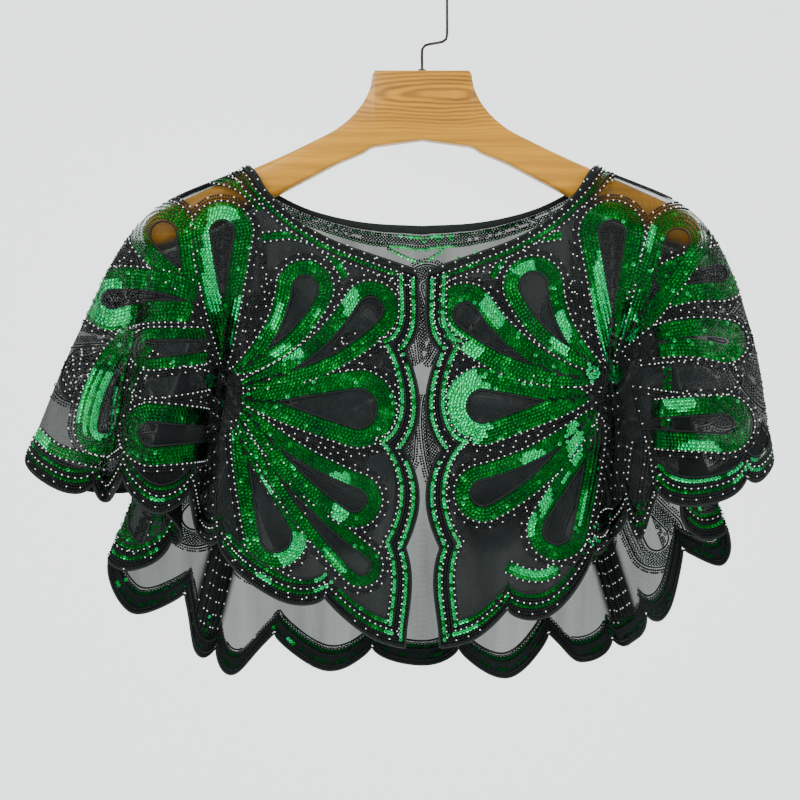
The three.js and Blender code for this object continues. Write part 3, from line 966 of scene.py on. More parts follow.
def make_edgings():
    """The cords along the centre-front edges and the hems."""
    material = thread_material("black_cord", (0.004, 0.006, 0.005), 0.62)
    made = []
    for node, side in EDGINGS:
        line = edge_points(edge_places(side))
        mesh = tube_mesh("cord_" + node, [line], CORD_RADIUS * MM, 6, CORD_STEP * MM)
        piece = add_object("cord_" + node, mesh)
        made.append(dress(piece, material, [node]))
    return made


# Hanger
# Columns: out from the middle, top and bottom as drops below the hook, half depth, corner radius.
HANGER_SECTIONS = (
    (0, 90.5, 144, 7, 1.4), (36.5, 90.5, 149, 7, 1.4), (38.2, 93, 149.5, 7, 1.4),
    (40, 103, 150, 7, 1.6), (45, 114, 153.5, 7, 1.8), (53, 124.5, 157, 7.2, 2),
    (66, 135.5, 162.5, 7.5, 2.2), (84, 145, 172, 8.5, 3), (108, 156.5, 184.5, 9.5, 4),
    (134, 167.6, 198, 10, 5.5), (158, 178.5, 210, 13, 7), (180, 188.4, 221, 14.5, 8),
    (200, 197.5, 229, 14.5, 9), (210, 203, 230, 12, 8), (215.5, 210, 224, 6.5, 4.5),
)
ARM_FROM = 40
ARM_END = 215.5
ROUNDED_END = (1.1, 2.2, 0.72)  # how far it goes on, how far it draws in, and its share of the depth
EXTRA_STOPS = (*range(42, 215, 5), 12, 24, 213.5)  # sections of the loft besides the table's rows
CORNER_STEPS = 5


def hanger_section(out):
    """Top, bottom, half depth and corner of the hanger at a distance out."""
    places, *columns = zip(*HANGER_SECTIONS)
    found = []
    for number, values in enumerate(columns):
        smooth = out > ARM_FROM or number == 1
        found.append(float(through(places, values, out) if smooth else np.interp(out, places, values)))
    return found


def hanger_ring(x, top, bottom, half, corner):
    """A rounded rectangle of points across the hanger at x."""
    corner = min(corner * 1.3, half * 0.98, (bottom - top) / 2 * 0.98)
    points = []
    for cy, cz, start in (
        (half - corner, -top - corner, 0), (-half + corner, -top - corner, 90),
        (-half + corner, -bottom + corner, 180), (half - corner, -bottom + corner, 270),
    ):
        for k in range(CORNER_STEPS):
            angle = math.radians(start + 90 * k / (CORNER_STEPS - 1))
            y, z = cy + corner * math.cos(angle), cz + corner * math.sin(angle)
            points.append((x * MM, y * MM, z * MM))
    return points


def make_hanger(props):
    """The hanger's wooden body, a loft through its sections."""
    stops = sorted({row[0] for row in HANGER_SECTIONS}.union(EXTRA_STOPS))
    half = [(out, *hanger_section(out)) for out in stops]
    top, bottom, depth, corner = hanger_section(ARM_END)
    further, inwards, share = ROUNDED_END
    half.append((ARM_END + further, top + inwards, bottom - inwards, depth * share, corner * share))
    sections = [(-row[0], *row[1:]) for row in reversed(half[1:])] + half
    bm = bmesh.new()
    skin(bm, [[bm.verts.new(p) for p in hanger_ring(*row)] for row in sections])
    bmesh.ops.remove_doubles(bm, verts=bm.verts, dist=1e-6)
    bmesh.ops.recalc_face_normals(bm, faces=bm.faces)
    piece = add_object("wooden_hanger", mesh_from(bm, "wooden_hanger"))
    dress(piece, wood_material(props), ["hanger_body"])


# Embroidery. Places are (x, drop) in millimetres on the hanger's plane, seen from the camera.
# A petal runs from its root to its tip, where it is round. It has its sideways bend, the radius at
# its tip, its rows of sequins, its half width at the root, and whether beads fill its core.
Petal = namedtuple(
    "Petal", "root_x root_drop tip_x tip_drop bend radius rows root_width beaded", defaults=(False,)
)
# Upright, leaning, inner, level, lower inner, lower, hanging, fold, fold net, fold band, side,
# shoulder, wing and second layer:
LEFT_PETALS = (
    (-153, 318, -155, 190, -2, 26, 5, 4, True), (-145, 324, -87, 236, 14, 24, 4, 4),
    (-140, 334, -27, 256, 16, 24, 4, 4), (-140, 345, -19, 356, 0, 32, 5, 4),
    (-139, 353, -32, 434, 9, 23, 4, 4), (-142, 359, -34, 487, 8, 18, 3, 4),
    (-145, 367, -105, 477, 0, 26, 4, 4), (-168, 373, -236, 373, 0, 26, 5, 21),
    (-168, 331, -229, 331, 0, 16, 0, 8), (-170, 304, -228, 308, 0, 18, 3, 15),
    (-179, 271, -266, 276, 8, 26, 6, 17, True), (-178, 262, -210, 192, -3, 27, 5, 6),
    (-220, 298, -248, 391, 11, 23, 6, 16), (-211, 414, -212, 470, 0, 28, 3, 26),
)
# Upright, leaning, inner, level, lower inner, hanging, shoulder, side, fold band, fold net, fold, low
# net and second layer:
RIGHT_PETALS = (
    (145, 317, 147, 190, 2, 27, 5, 4, True), (137, 321, 83, 233, -14, 25, 4, 4),
    (133, 331, 18, 259, -16, 26, 5, 4), (129, 344, 16, 354, 0, 32, 6, 4),
    (134, 355, 25, 426, -11, 24, 4, 4), (138, 365, 96, 471, 0, 25, 4, 4),
    (156, 303, 209, 198, 3, 26, 5, 5), (186, 260, 254, 250, -6, 23, 5, 17, True),
    (183, 301, 253, 307, -6, 18, 5, 14), (170, 328, 246, 329, 0, 16, 0, 9),
    (179, 365, 259, 365, 0, 24, 5, 20), (170, 378, 170, 449, 0, 12, 0, 5),
    (186, 425, 190, 462, 0, 24, 3, 22),
)

# Free bands: rows of sequins, then the line they follow.
GREEN_BANDS = (
    (2, ((-164, 175), (-148, 178), (-135, 186), (-126, 197))),
    (2, ((-125, 220), (-101, 218), (-81, 225), (-68, 237), (-60, 251))),
    (2, ((-60, 229), (-39, 239), (-23, 246), (-16, 259))),
    (2, ((147, 173), (129, 179), (117, 189), (109, 201))),
    (2, ((108, 218), (84, 222), (67, 231), (55, 250))),
    (2, ((48, 243), (31, 243), (16, 250), (11, 256))),
    (3, ((23, 239), (41, 229), (56, 222))),
    (4, ((-142, 459), (-125, 476), (-101, 491), (-76, 496))),
    (2, ((-162, 443), (-151, 459), (-134, 477))),
    (3, ((67, 476), (80, 482), (94, 483), (105, 478))),
    (3, ((127, 467), (136, 452), (142, 436), (153, 436))),
    (3, ((-245, 476), (-220, 487), (-190, 480))),
    (3, ((195, 470), (215, 478), (236, 468))),
    (2, ((244, 408), (262, 408), (276, 398))),
    (3, ((-300, 372), (-285, 385), (-262, 392), (-246, 396))),
)

# Dotted lines of beads that run in to the flowers' centres and down from them.
BEAD_LINES = (
    ((-169, 342), (-168, 370), (-169, 409), (-167, 448), (-171, 502)),
    ((-163, 346), (-161, 385), (-162, 424), (-164, 456)),
    ((-144, 370), (-142, 401), (-136, 424), (-136, 440)),
    ((-173, 198), (-170, 229), (-173, 268), (-164, 307), (-156, 324)),
    ((-125, 222), (-125, 260), (-137, 292), (-150, 324)),
    ((-72, 276), (-87, 296), (-115, 309), (-142, 329)),
    ((-21, 292), (-56, 321), (-95, 332), (-142, 340)),
    ((-25, 384), (-56, 390), (-95, 374), (-140, 349)),
    ((-183, 257), (-176, 292), (-164, 321)),
    ((-184, 231), (-176, 268), (-168, 307)),
    ((165, 335), (174, 378), (170, 424), (170, 471)),
    ((153, 340), (154, 385), (151, 424), (156, 448)),
    ((144, 342), (139, 378), (137, 409)),
    ((176, 262), (167, 292), (156, 320)),
    ((189, 249), (178, 276), (162, 315)),
    ((117, 222), (120, 260), (131, 300), (142, 321)),
    ((66, 292), (84, 321), (115, 334), (142, 337)),
    ((14, 300), (45, 326), (92, 338), (139, 340)),
    ((14, 385), (61, 378), (108, 358), (142, 346)),
    ((61, 444), (92, 416), (123, 378), (144, 348)),
)

BEAD_LINE_ROWS = ((0, "mixed"), (-2.1, "bead"), (2.1, "bead"))

# Patches where the sequins get a painted glint: x, drop and the half sizes of each bright patch.
GLINTS = (
    (-163, 241, 6, 28), (-154, 200, 9, 5), (-142, 276, 4, 8), (-144, 301, 5, 8), (-112, 284, 5, 12),
    (-107, 309, 11, 5), (-80, 282, 3, 5), (-55, 272, 5, 12), (-17, 296, 4, 8), (-81, 350, 8, 4),
    (-56, 345, 7, 6), (-166, 331, 4, 6), (-248, 272, 17, 16), (-253, 292, 14, 6), (-256, 348, 13, 23),
    (-298, 371, 8, 11), (-124, 427, 5, 17), (-101, 463, 11, 9), (-69, 473, 9, 14), (-66, 409, 9, 5),
    (-64, 432, 5, 7), (-128, 488, 9, 5), (-76, 491, 7, 7), (-25, 506, 4, 23), (-17, 512, 5, 27),
    (-13, 366, 4, 11), (-17, 401, 5, 9), (-19, 432, 5, 11), (-16, 459, 7, 9), (-208, 428, 11, 4),
    (14, 268, 4, 17), (23, 303, 8, 14), (8, 350, 7, 34), (31, 353, 17, 28), (41, 296, 11, 12),
    (53, 280, 8, 12), (14, 424, 5, 31), (23, 459, 8, 11), (37, 480, 5, 11), (11, 510, 7, 23),
    (26, 526, 17, 7), (85, 253, 5, 9), (79, 243, 7, 5), (108, 296, 6, 14), (122, 253, 5, 23),
    (139, 268, 6, 27), (144, 303, 4, 11), (134, 325, 6, 6), (151, 326, 8, 9), (178, 218, 3, 11),
    (162, 288, 5, 9), (53, 412, 8, 5), (88, 393, 8, 7), (119, 378, 5, 14), (118, 424, 8, 17),
    (96, 424, 4, 11), (84, 441, 4, 9), (86, 482, 20, 5), (133, 456, 5, 11), (217, 385, 12, 5),
    (201, 348, 9, 5), (213, 410, 17, 5), (252, 401, 11, 9), (37, 231, 19, 9), (232, 276, 11, 4),
)


def ahead_and_across(line):
    """Unit directions along a flat line of points, and square to it."""
    ahead = np.gradient(line, axis=0)
    ahead /= np.linalg.norm(ahead, axis=1, keepdims=True)
    return ahead, np.stack((-ahead[:, 1], ahead[:, 0]), -1)


SMALLEST_CAP = 0.8
NARROWEST = 0.5
PETAL_SWELL = 0.72  # how the half width grows along the petal: 1 for evenly, less for early


def petal_line(petal, inset):
    """A petal's outline, drawn in by inset, from root over the tip and back; None if nothing is left."""
    root = np.array((petal.root_x, petal.root_drop), float)
    tip = np.array((petal.tip_x, petal.tip_drop), float)
    chord = tip - root
    sideways = np.array((-chord[1], chord[0])) / np.linalg.norm(chord)
    bent = (root + tip) / 2 + 2 * petal.bend * sideways
    t = np.linspace(0, 1, 61)[:, None]
    spine = (1 - t) ** 2 * root + 2 * t * (1 - t) * bent + t**2 * tip
    along = arc_lengths(spine)
    direction, across = ahead_and_across(spine)

    cap = petal.radius - inset
    if cap < SMALLEST_CAP:
        return None
    centre_at = max(along[-1] - petal.radius, 1)
    at = np.linspace(0, centre_at, 40)
    swell = (petal.radius - petal.root_width) * (at / centre_at) ** PETAL_SWELL
    width = petal.root_width + swell - inset
    keep = width > NARROWEST
    at, width = at[keep], width[keep]
    base, aside = values_at(at, along, spine), values_at(at, along, across)
    centre, forward, right = (values_at(centre_at, along, table) for table in (spine, direction, across))
    angles = np.radians(np.linspace(-85, 85, 24))[:, None]
    round_end = centre + cap * (np.sin(angles) * right + np.cos(angles) * forward)
    return np.concatenate((base - aside * width[:, None], round_end, (base + aside * width[:, None])[::-1]))


class Shade:
    """How bright each sequin is painted: deep green with painted light and shade, and painted glints on the
    patches given.
    """

    CLOUD_SCALES = (38, 90)
    CLOUDED = (0.29, 0.36)  # the middle painted brightness, and the painted light and shade that the clouds add or take
    SPREAD = 0.10
    # A few stray sequins are painted brighter, a painted glint.
    STRAY_SHARE = 0.035
    STRAY_GAIN = (0.2, 0.5)
    # Without patches, the sequins where the clouds are brightest get a painted glint.
    BRIGHT_CLOUD = 0.24
    CLOUD_GLINT = (0.6, 1.0)
    ROW_THAT_GLINTS = 0.3  # rows that drew less than this get no painted glint
    GLINT = (0.74, 1.0)
    SOFT_GLINT = (0.40, 0.62)

    def __init__(self, patches):
        self.patches = np.array(patches, float) if patches else None
        self.row = 0.0

    def start_row(self, rng):
        """Each row of sequins draws once, so its painted glint covers the whole row or none of it."""
        self.row = rng.random()

    def __call__(self, point, rng):
        cloud = sum(noise.noise(point * scale) * 0.5 for scale in self.CLOUD_SCALES)
        value = self.CLOUDED[0] + self.CLOUDED[1] * cloud + rng.uniform(-self.SPREAD, self.SPREAD)
        if rng.random() < self.STRAY_SHARE:
            value += rng.uniform(*self.STRAY_GAIN)
        if self.patches is None:
            return rng.uniform(*self.CLOUD_GLINT) if cloud > self.BRIGHT_CLOUD else value
        ray = point - CAMERA_PLACE
        seen = CAMERA_PLACE + ray * (-CAMERA_PLACE.y / ray.y)
        x, drop = seen.x / MM, -seen.z / MM
        off = ((x - self.patches[:, 0]) / self.patches[:, 2]) ** 2
        off += ((drop - self.patches[:, 1]) / self.patches[:, 3]) ** 2
        nearest = off.min()
        if nearest < 1 + 1.2 * self.row and self.row > self.ROW_THAT_GLINTS:
            return rng.uniform(*self.GLINT)
        return rng.uniform(*self.SOFT_GLINT) if nearest < 1 else value


OUTLINE_INSET = 1.0
FIRST_ROW_INSET = 3.4
BEAD_ROW_SPACING = 2.0
OUTER_ROWS = ((-1.2, "bead"), (-3.2, "mixed"))


def petal_runs(caster, petal, inset):
    """Runs along a petal's outline, drawn in by inset, on the cloth that is seen."""
    line = petal_line(petal, inset)
    return [] if line is None else caster.runs(line)


def sew_petal_rows(work, caster, petals, shade):
    """Every petal's rows of sequins."""
    for petal in petals:
        for row in range(petal.rows):
            for run in petal_runs(caster, petal, FIRST_ROW_INSET + row * ROW_SPACING):
                sew_row(work, "sequin", run, shade)


def sew_petal_outlines(work, caster, petals, shade):
    """The petals' cores, then their piped and beaded outlines."""
    for petal in petals:
        inset = FIRST_ROW_INSET + petal.rows * ROW_SPACING
        if petal.rows:
            for run in petal_runs(caster, petal, inset):
                work.pipe(run)
        inset += BEAD_ROW_SPACING
        while petal.beaded and petal.radius - inset > SMALLEST_CAP:
            for run in petal_runs(caster, petal, inset):
                sew_row(work, "bead", run, shade)
            inset += BEAD_ROW_SPACING
    for petal in petals:
        for run in petal_runs(caster, petal, OUTLINE_INSET):
            sew_row(work, "dotted", run, shade)
    for inset, kind in OUTER_ROWS:
        for petal in petals:
            for run in petal_runs(caster, petal, inset):
                sew_row(work, kind, run, shade)


def oval(across, down, count):
    """A closed line of points round an oval about the origin."""
    angles = np.linspace(0, 2 * math.pi, count)
    return np.stack((across * np.cos(angles), down * np.sin(angles)), -1)


def sew_patch(work, caster, x, drop, across, down, turn):
    """An oval close-set with black seed beads and a few silver ones, inside a piped line."""
    c, s = math.cos(math.radians(turn)), math.sin(math.radians(turn))
    inset = 0.0
    while min(across, down) - inset > 0.6:
        flat = oval(across - inset, down - inset, 60)
        line = np.array((x, drop)) + flat @ np.array(((c, s), (-s, c)))
        for run in caster.runs(line):
            sew_row(work, "mixed" if inset else "pipe", run, None)
        inset += BEAD_ROW_SPACING


# Small rounds where the petals meet, their sequins painted bright as a highlight: x, drop and radius.
FLOWER_CENTRES = ((-166, 331, 4), (133, 325, 4), (151, 326, 6))


def sew_centres(work, caster):
    """Rings of sequins painted bright as a highlight where the petals meet."""
    for x, drop, radius in FLOWER_CENTRES:
        while radius > 0.5:
            line = np.array((x, drop)) + oval(radius, radius, 24)
            for run in caster.runs(line, step=0.6):
                sew_row(work, "lit", run, None)
            radius -= ROW_SPACING


def sew_side_bands(work, shade):
    """Close rows up the beaded bands beside the side folds of the back."""
    v = np.linspace(SIDE_BAND_TOP, 0.96, 400)
    for u_from, u_to in SIDE_BANDS:
        width = span_between(cloth(u_to, 0.9)[0], cloth(u_from, 0.9)[0]) / MM
        count = int(width / SIDE_BAND_SPACING)
        for number, u in enumerate(np.linspace(u_from, u_to, count)):
            kind = "sequin" if number % 3 == 1 else "mixed"
            points, normals = cloth_run(u, v)
            for facing in (1, -1):
                sew_row(work, kind, (points, normals * facing), shade)


def sew_band(work, caster, rows, line, shade):
    """Rows of sequins along a line, with a dotted line of piping at each side."""
    line = np.array(line, float)
    _, across = ahead_and_across(line)
    places = [("sequin", (row - (rows - 1) / 2) * ROW_SPACING) for row in range(rows)]
    places += [("dotted", side * (rows / 2 * ROW_SPACING + 0.9)) for side in (-1, 1)]
    for kind, offset in places:
        for run in caster.runs(smooth_line(line + across * offset)):
            sew_row(work, kind, run, shade)


def smooth_line(line):
    """A smooth line through a few guide points."""
    places = np.arange(len(line), dtype=float)
    at = np.linspace(0, len(line) - 1, len(line) * 12)
    return np.stack([through(places, column, at) for column in line.T], -1)


# Rows along the edges: distance in from the edge in millimetres, and what is sewn there.
# Rows of the kind lit are sequins painted bright, a painted highlight.
FRONT_EDGE_ROWS = (
    (1.0, "bead"), (3.6, "lit"), (6.0, "dotted"), (8.2, "bead"), (10.4, "pipe"), (13.0, "lit"),
    (15.6, "dotted"),
)
HEM_ROWS = (
    (1.0, "bead"), (3.0, "mixed"), (5.0, "bead"), (7.6, "sequin"), (10.0, "dotted"), (12.0, "bead"),
    (14.6, "sequin"), (17.0, "pipe"),
)
BACK_HEM_ROWS = (
    (1.0, "bead"), (3.0, "bead"), (5.0, "bead"), (7.4, "sequin"), (9.8, "bead"), (12.2, "dotted"),
    (15.0, "sequin"), (17.4, "pipe"),
)
NECK_ROWS = ((1.2, "dotted"), (3.8, "sequin"), (6.2, "bead"), (8.4, "dotted"))
BACK_NECK_ROWS = ((1.2, "bead"), (4.0, "sequin"), (6.8, "sequin"), (9.4, "bead"))
FRONT_LENGTH = 300  # about the length of a centre-front edge
INSIDE_NECK_ROWS = (2.0, 5.0, 11.5)
INSIDE_HEM_ROWS = ((3.0, "bead"), (5.6, "sequin"), (11.0, "bead"), (13.6, "sequin"))
NECK_POINT_REACH = 2.4  # ring places from centre back that the point below the neck spans
NECK_POINT = (22, 13, 2.5)  # how low the point lies, how far its sides rise, and their curve
BINDING_ROWS = ((0.35, "mixed"), (0.8, "bead"))
# Painted brightness of the sequins on the inside of the back, with painted glints on a few, and of the
# straight rows at centre front, painted bright as a highlight.
DIM_CLOUD_SCALE = 22
DIM_CLOUD_GLINTS = 0.32
DIM_GLINT = (0.6, 0.95)
DIM = (0.0, 0.08)
LIT_SHARE = 0.8
LIT = (0.66, 1.0)
UNLIT = (0.3, 0.6)


def sew_row(work, kind, run, shade):
    """One row of the named kind of work along a run."""
    if kind in ("pipe", "dotted"):
        work.pipe(run)
        if kind == "dotted":
            work.sew("silver", run)
    elif kind == "mixed":
        work.sew_mixed(run)
    elif kind == "bead":
        work.sew("bead", run)
    else:
        work.sew("sequin", run, lit_edge if kind == "lit" else shade)


def sew_edges(work, side, shade):
    """The rows that follow the scalloped edges and the neck of one panel."""
    if side == "back":
        u = np.linspace(LEFT_SEAM + 0.05, RIGHT_SEAM - 0.05, 1400)
        hem_rows, neck_rows = BACK_HEM_ROWS, BACK_NECK_ROWS
    else:
        edge, seam, inward = 0.0, LEFT_SEAM - 0.05, 1
        if side == "right":
            edge, seam, inward = float(RING_END), RIGHT_SEAM + 0.05, -1
        v = np.linspace(BINDING_SHARE + 0.01, 0.985, 500)
        step = 0.3
        spacing = span_between(cloth(edge + inward * step, v)[0], cloth(edge, v)[0]) / MM / step
        for distance, kind in FRONT_EDGE_ROWS:
            keep = v < 1 - distance / FRONT_LENGTH
            run = cloth_run(edge + inward * distance / spacing[keep], v[keep])
            sew_row(work, kind, run, shade)
        u = np.linspace(edge + inward * 0.08, seam, 900)
        hem_rows, neck_rows = HEM_ROWS, NECK_ROWS
    lengths = cloth_length(u)
    for distance, kind in hem_rows:
        sew_row(work, kind, cloth_run(u, 1 - distance / lengths), shade)
    for distance, kind in neck_rows:
        sew_row(work, kind, cloth_run(u, BINDING_SHARE + distance / lengths), shade)
    for share, kind in BINDING_ROWS:
        points, normals = cloth_run(u, BINDING_SHARE * share)
        sew_row(work, kind, (points + normals * 0.6 * MM, normals), shade)


def dim_rows(point, rng):
    """Sequins seen from the inside of the back: nearly black, with painted glints on a few."""
    glints = noise.noise(point * DIM_CLOUD_SCALE) > DIM_CLOUD_GLINTS
    return rng.uniform(*(DIM_GLINT if glints else DIM))


def sew_inside_rows(work):
    """Rows that show on the inside of the back, below its neck and along its hem."""
    u = np.linspace(LEFT_SEAM + 2.5, RIGHT_SEAM - 2.5, 900)
    lengths = cloth_length(u)
    rows = [("sequin", u, BINDING_SHARE + distance / lengths) for distance in INSIDE_NECK_ROWS]
    rows += [(kind, u, 1 - distance / lengths) for distance, kind in INSIDE_HEM_ROWS]
    away = np.linspace(0, 1, 60)
    low, rise, belly = NECK_POINT
    drop = low - rise * away + belly * np.sin(math.pi * away)
    for side in (-1, 1):
        u = RING_END / 2 + side * NECK_POINT_REACH * away
        rows.append(("sequin", u, BINDING_SHARE + drop / cloth_length(u)))
    for kind, u, v in rows:
        points, normals = cloth_run(u, v)
        sew_row(work, kind, (points, -normals), dim_rows)


def lit_edge(point, rng):
    """The straight rows at centre front are painted bright nearly all along, a painted highlight as if they
    faced the light.
    """
    return rng.uniform(*(LIT if rng.random() < LIT_SHARE else UNLIT))


# Ring places of the rows that run down the hidden sides of the folds, and how far down they reach.
FOLD_ROWS = (
    (4.5, 0.4, 0.92), (5.3, 0.4, 0.92), (9.0, 0.4, 0.9), (14.2, 0.6, 0.92), (15.4, 0.6, 0.92),
    (16.6, 0.66, 0.94), (17.6, 0.66, 0.94), (18.6, 0.55, 0.92),
    (35.6, 0.55, 0.92), (36.8, 0.6, 0.92), (37.9, 0.6, 0.94),
    (38.9, 0.6, 0.94), (39.8, 0.6, 0.94), (42.2, 0.3, 0.94), (45.9, 0.4, 0.9), (48.8, 0.4, 0.9),
)
# The rows of each, as ring places from the one given.
FOLD_SEQUINS_AT = (-0.08, 0.0, 0.08)
FOLD_BEADS_AT = 0.17

# The back's flowers: centre x and drop, the petals' length, and the turn of the first petal.
BACK_FLOWERS = (
    (-138, 372, 118, 12), (138, 372, 118, -12), (0, 330, 92, 0), (-228, 300, 78, 30),
    (228, 300, 78, -30),
)
BACK_PETALS = 9
BACK_ROOT = 12  # how far out from its flower's centre a petal starts
REACH_CHANGE = 0.12  # how much longer or shorter than the given length a petal can be
PETAL_RADIUS = 0.205  # as a share of the length


def flower_petals(x, drop, length, turn):
    """Petals set round a centre, each a little longer or shorter than the next."""
    petals = []
    for k in range(BACK_PETALS):
        angle = math.radians(turn + 360 * k / BACK_PETALS)
        reach = length * (1 + REACH_CHANGE * math.sin(2.3 * k))
        places = []
        for distance in (BACK_ROOT, reach):
            places += (x + distance * math.sin(angle), drop - distance * math.cos(angle))
        bend, radius = 6 - 2 * (k % 3), PETAL_RADIUS * length
        petals.append(Petal(*places, bend, radius, rows=4, root_width=2, beaded=k % 3 == 0))
    return petals


# Close-beaded ovals: x, drop, half width, half height and turn in degrees.
BEAD_PATCHES = (
    (-263, 327, 17, 24, 20), (-216, 248, 34, 8, 24), (203, 255, 12, 6, 0), (-118, 259, 9, 14, 0),
    (112, 262, 9, 14, 0), (-60, 300, 12, 5, -40),
)


def embroider():
    """All the sewn work, gathered as spots and lines for the front and for the back."""
    front, back = Work(seed=11), Work(seed=12)
    # The front's sequins get painted glints on the patches given; the back's get painted light and shade
    # from clouds, with painted glints where these are brightest.
    seen, glints = Caster(from_back=False), Shade(GLINTS)
    behind, plain = Caster(from_back=True), Shade(None)
    back.taken = front.taken
    for crest, end in CRESTS:
        front.pipe(cloth_run(crest, np.linspace(0.03, end, 60)), lift=0.4)
    for side in ("left", "right"):
        sew_edges(front, side, glints)
    sew_edges(back, "back", glints)
    petals = [Petal(*row) for row in LEFT_PETALS + RIGHT_PETALS]
    sew_centres(front, seen)
    sew_petal_rows(front, seen, petals, glints)
    for rows, line in GREEN_BANDS:
        sew_band(front, seen, rows, line, glints)
    sew_petal_outlines(front, seen, petals, glints)
    for patch in BEAD_PATCHES:
        sew_patch(front, seen, *patch)
    for line in BEAD_LINES:
        line = smooth_line(np.array(line, float))
        for offset, kind in BEAD_LINE_ROWS:
            for run in seen.runs(line + np.array((offset, 0))):
                sew_row(front, kind, run, glints)
    petals = [petal for flower in BACK_FLOWERS for petal in flower_petals(*flower)]
    sew_petal_rows(back, behind, petals, plain)
    sew_petal_outlines(back, behind, petals, plain)
    sew_inside_rows(back)
    sew_side_bands(back, plain)
    for place, top, bottom in FOLD_ROWS:
        v = np.linspace(top, bottom, 300)
        for offset in FOLD_SEQUINS_AT:
            run = cloth_run(place + offset, v)
            back.sew("sequin", run, plain, room=FOLD_SEQUIN_ROOM)
        back.sew_mixed(cloth_run(place + FOLD_BEADS_AT, v))
    return front, back


# For each kind: its material slot, its size and how far it leans along its row.
LOOK_OF = {
    "sequin": ("sequin", SEQUIN_SIZE, 0.10),
    "bead": ("seed_bead", BEAD_SIZE, 0.0),
    "silver": ("silver_bead", SILVER_SIZE, 0.0),
}


def make_embroidery(props):
    """The sewn work of the fronts and of the back, one piece for each kind."""
    materials = {
        "sequin": sequin_material(props),
        "bead": bead_material("black_seed_bead", (0.005, 0.006, 0.006), 0.3, 0.0, 0.5),
        "silver": bead_material("silver_seed_bead", (0.86, 0.88, 0.85), 0.3, 0.1, 0.25),
        "pipe": thread_material("black_piping", (0.003, 0.004, 0.004), 0.55),
    }
    for place, work in zip(("front", "back"), embroider()):
        for number, (kind, spots) in enumerate(sorted(work.spots.items())):
            slot_name, size, tilt = LOOK_OF[kind]
            stamp = sequin_stamp() if kind == "sequin" else bead_stamp()
            piece = scatter(f"{place}_{kind}s", spots, stamp, size * MM, tilt, seed=number)
            dress(piece, materials[kind])
        name = place + "_piping"
        mesh = tube_mesh(name, work.lines, PIPING_RADIUS * MM, 4, PIPING_STEP * MM)
        dress(add_object(name, mesh), materials["pipe"])


# Stage
GARMENT_MIDDLE = Vector((0, 0, -0.33))


def make_stage():
    """The pale room: floor, backdrop, three soft lights, sky and camera."""
    scene = bpy.context.scene
    camera = bpy.data.objects.new("camera", bpy.data.cameras.new("camera"))
    scene.collection.objects.link(camera)
    camera.location = CAMERA_PLACE
    camera.rotation_euler = (math.pi / 2, 0, 0)
    camera.data.lens = 71
    camera.data.sensor_width = 36
    scene.camera = camera

    pale = Shader("pale_wall", (0.95, 0.985, 0.965), 0.9, Specular_IOR_Level=0.1).material
    for name, size, place, turn in (
        ("floor", 7.0, (0, 0, -1.75), 0),
        ("backdrop", 9.0, (0, 2.8, 0.0), math.pi / 2),
    ):
        bm = bmesh.new()
        matrix = Matrix.Translation(place) @ Matrix.Rotation(turn, 4, "X")
        bmesh.ops.create_grid(bm, x_segments=1, y_segments=1, size=size / 2, matrix=matrix)
        plane = add_object(name, mesh_from(bm, name))
        plane.data.materials.append(pale)
    for name, place, power, size in (
        ("key_light", (-1.5, -2.2, 1.1), 110, 1.4),
        ("fill_light", (1.9, -1.8, 0.2), 45, 1.8),
        ("back_light", (0.6, 1.9, 1.2), 40, 1.6),
    ):
        light = bpy.data.lights.new(name, "AREA")
        light.energy, light.size = power, size
        lamp = bpy.data.objects.new(name, light)
        scene.collection.objects.link(lamp)
        lamp.location = place
        lamp.rotation_euler = (GARMENT_MIDDLE - Vector(place)).to_track_quat("-Z", "Y").to_euler()
    world = bpy.data.worlds.new("pale_room")
    world.use_nodes = True
    sky = world.node_tree.nodes["Background"]
    sky.inputs["Color"].default_value = (0.88, 0.915, 0.90, 1)
    sky.inputs["Strength"].default_value = 1.95
    scene.world = world


# Add-on
def color_setting(name, description, default):
    """A color property of the panel."""
    return FloatVectorProperty(
        name=name, description=description, default=default, subtype="COLOR", size=3
    )


class CapeletSettings(bpy.types.PropertyGroup):
    """Sizes and colors of the capelet and its hanger"""

    net_color: color_setting("Net color", "Color of the net's threads", (0.008, 0.010, 0.010))
    net_mesh: FloatProperty(
        name="Net mesh", description="Distance between the net's threads", subtype="DISTANCE",
        default=0.0018, min=0.0005, max=0.01,
    )
    # The net's cover is partly its own and partly painted shade, set denser to stand for the shade on a
    # wall close behind the capelet.
    net_cover_and_wall_shade: FloatProperty(
        name="Net cover", description="How much one layer of net hides what is behind it",
        default=0.87, min=0.05, max=1.0,
    )
    # The sequins' greens are one green painted at four levels of light: painted shadow, the middle green,
    # painted light and a painted glint.
    sequin_dark: color_setting("Sequin shadow", "Darkest green of the sequins", (0.0, 0.013, 0.003))
    sequin_mid: color_setting("Sequin green", "Middle green of the sequins", (0.0, 0.042, 0.004))
    sequin_light: color_setting("Sequin light", "Green of sequins turned to the light", (0.0, 0.13, 0.016))
    sequin_glint: color_setting("Sequin glint", "Green of sequins that glint", (0.0, 0.25, 0.07))
    wood_color: color_setting("Wood", "Main color of the hanger's wood", (0.24, 0.104, 0.0))
    wood_pale: color_setting("Pale wood", "Color of the wood between its rings", (0.36, 0.155, 0.002))
    wood_dark: color_setting("Dark wood", "Color of the wood's dark rings", (0.105, 0.030, 0.0))


class CAPELET_OT_stage(bpy.types.Operator):
    """Add the floor, backdrop, lights and camera"""

    bl_idname = "capelet.stage"
    bl_label = "Stage"

    def execute(self, context):
        make_stage()
        return {"FINISHED"}


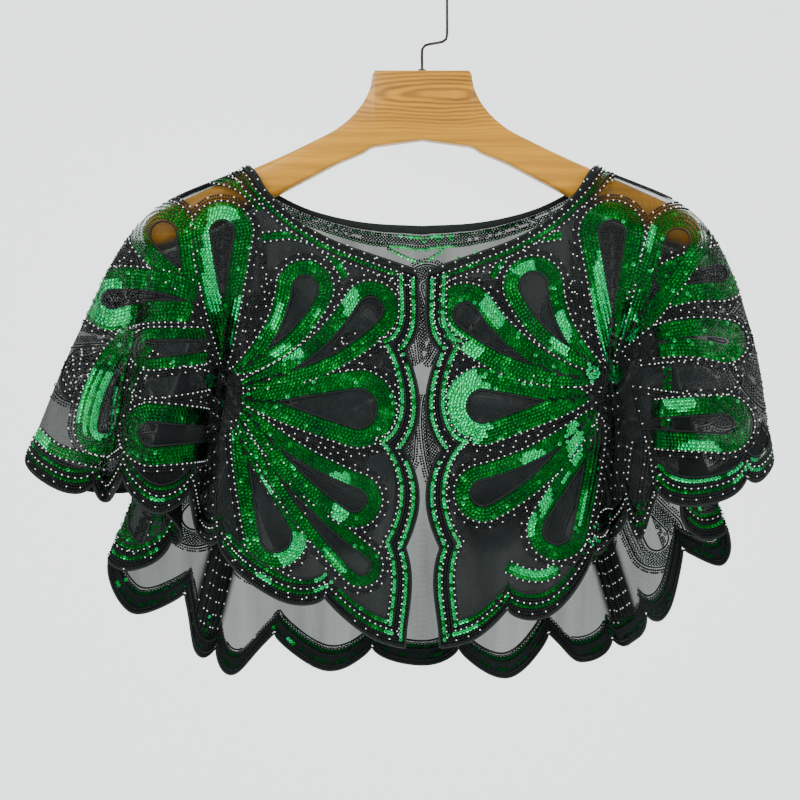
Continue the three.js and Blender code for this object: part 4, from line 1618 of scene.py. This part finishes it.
class CAPELET_OT_hanger(bpy.types.Operator):
    """Add the wooden hanger and finish its wire hook"""

    bl_idname = "capelet.hanger"
    bl_label = "Hanger"

    def execute(self, context):
        make_hanger(context.scene.capelet)
        wire = wire_material()
        for node in ("hanger_hook", "hook_collar"):
            for slot in bpy.data.objects[node].material_slots:
                slot.material = wire
        return {"FINISHED"}


class CAPELET_OT_cloth(bpy.types.Operator):
    """Add the net panels with their bindings and edgings"""

    bl_idname = "capelet.cloth"
    bl_label = "Cloth"

    def execute(self, context):
        panels = make_net_panels(context.scene.capelet)
        trims = make_bindings() + make_edgings()
        return {"FINISHED"}


class CAPELET_OT_embroidery(bpy.types.Operator):
    """Sew on the sequins, beads and piping"""

    bl_idname = "capelet.embroidery"
    bl_label = "Embroidery"

    def execute(self, context):
        make_embroidery(context.scene.capelet)
        return {"FINISHED"}


class CAPELET_PT_panel(bpy.types.Panel):
    """The capelet's makers, in the order they are used"""

    bl_label = "Capelet"
    bl_idname = "CAPELET_PT_panel"
    bl_space_type = "VIEW_3D"
    bl_region_type = "UI"
    bl_category = "Capelet"

    def draw(self, context):
        settings = context.scene.capelet
        for name in settings.__annotations__:
            self.layout.prop(settings, name)
        for operator in OPERATORS:
            self.layout.operator(operator.bl_idname)


OPERATORS = (CAPELET_OT_stage, CAPELET_OT_hanger, CAPELET_OT_cloth, CAPELET_OT_embroidery)
CLASSES = (CapeletSettings, *OPERATORS, CAPELET_PT_panel)


def register():
    """Adds the settings, the operators and the panel."""
    for cls in CLASSES:
        bpy.utils.register_class(cls)
    bpy.types.Scene.capelet = PointerProperty(type=CapeletSettings)


def unregister():
    """Takes away all that register adds."""
    del bpy.types.Scene.capelet
    for cls in reversed(CLASSES):
        bpy.utils.unregister_class(cls)


def main():
    """Builds the whole scene."""
    register()
    bpy.ops.capelet.stage()
    bpy.ops.capelet.hanger()
    bpy.ops.capelet.cloth()
    bpy.ops.capelet.embroidery()
    bpy.context.view_layer.update()


if __name__ == "__main__":
    main()
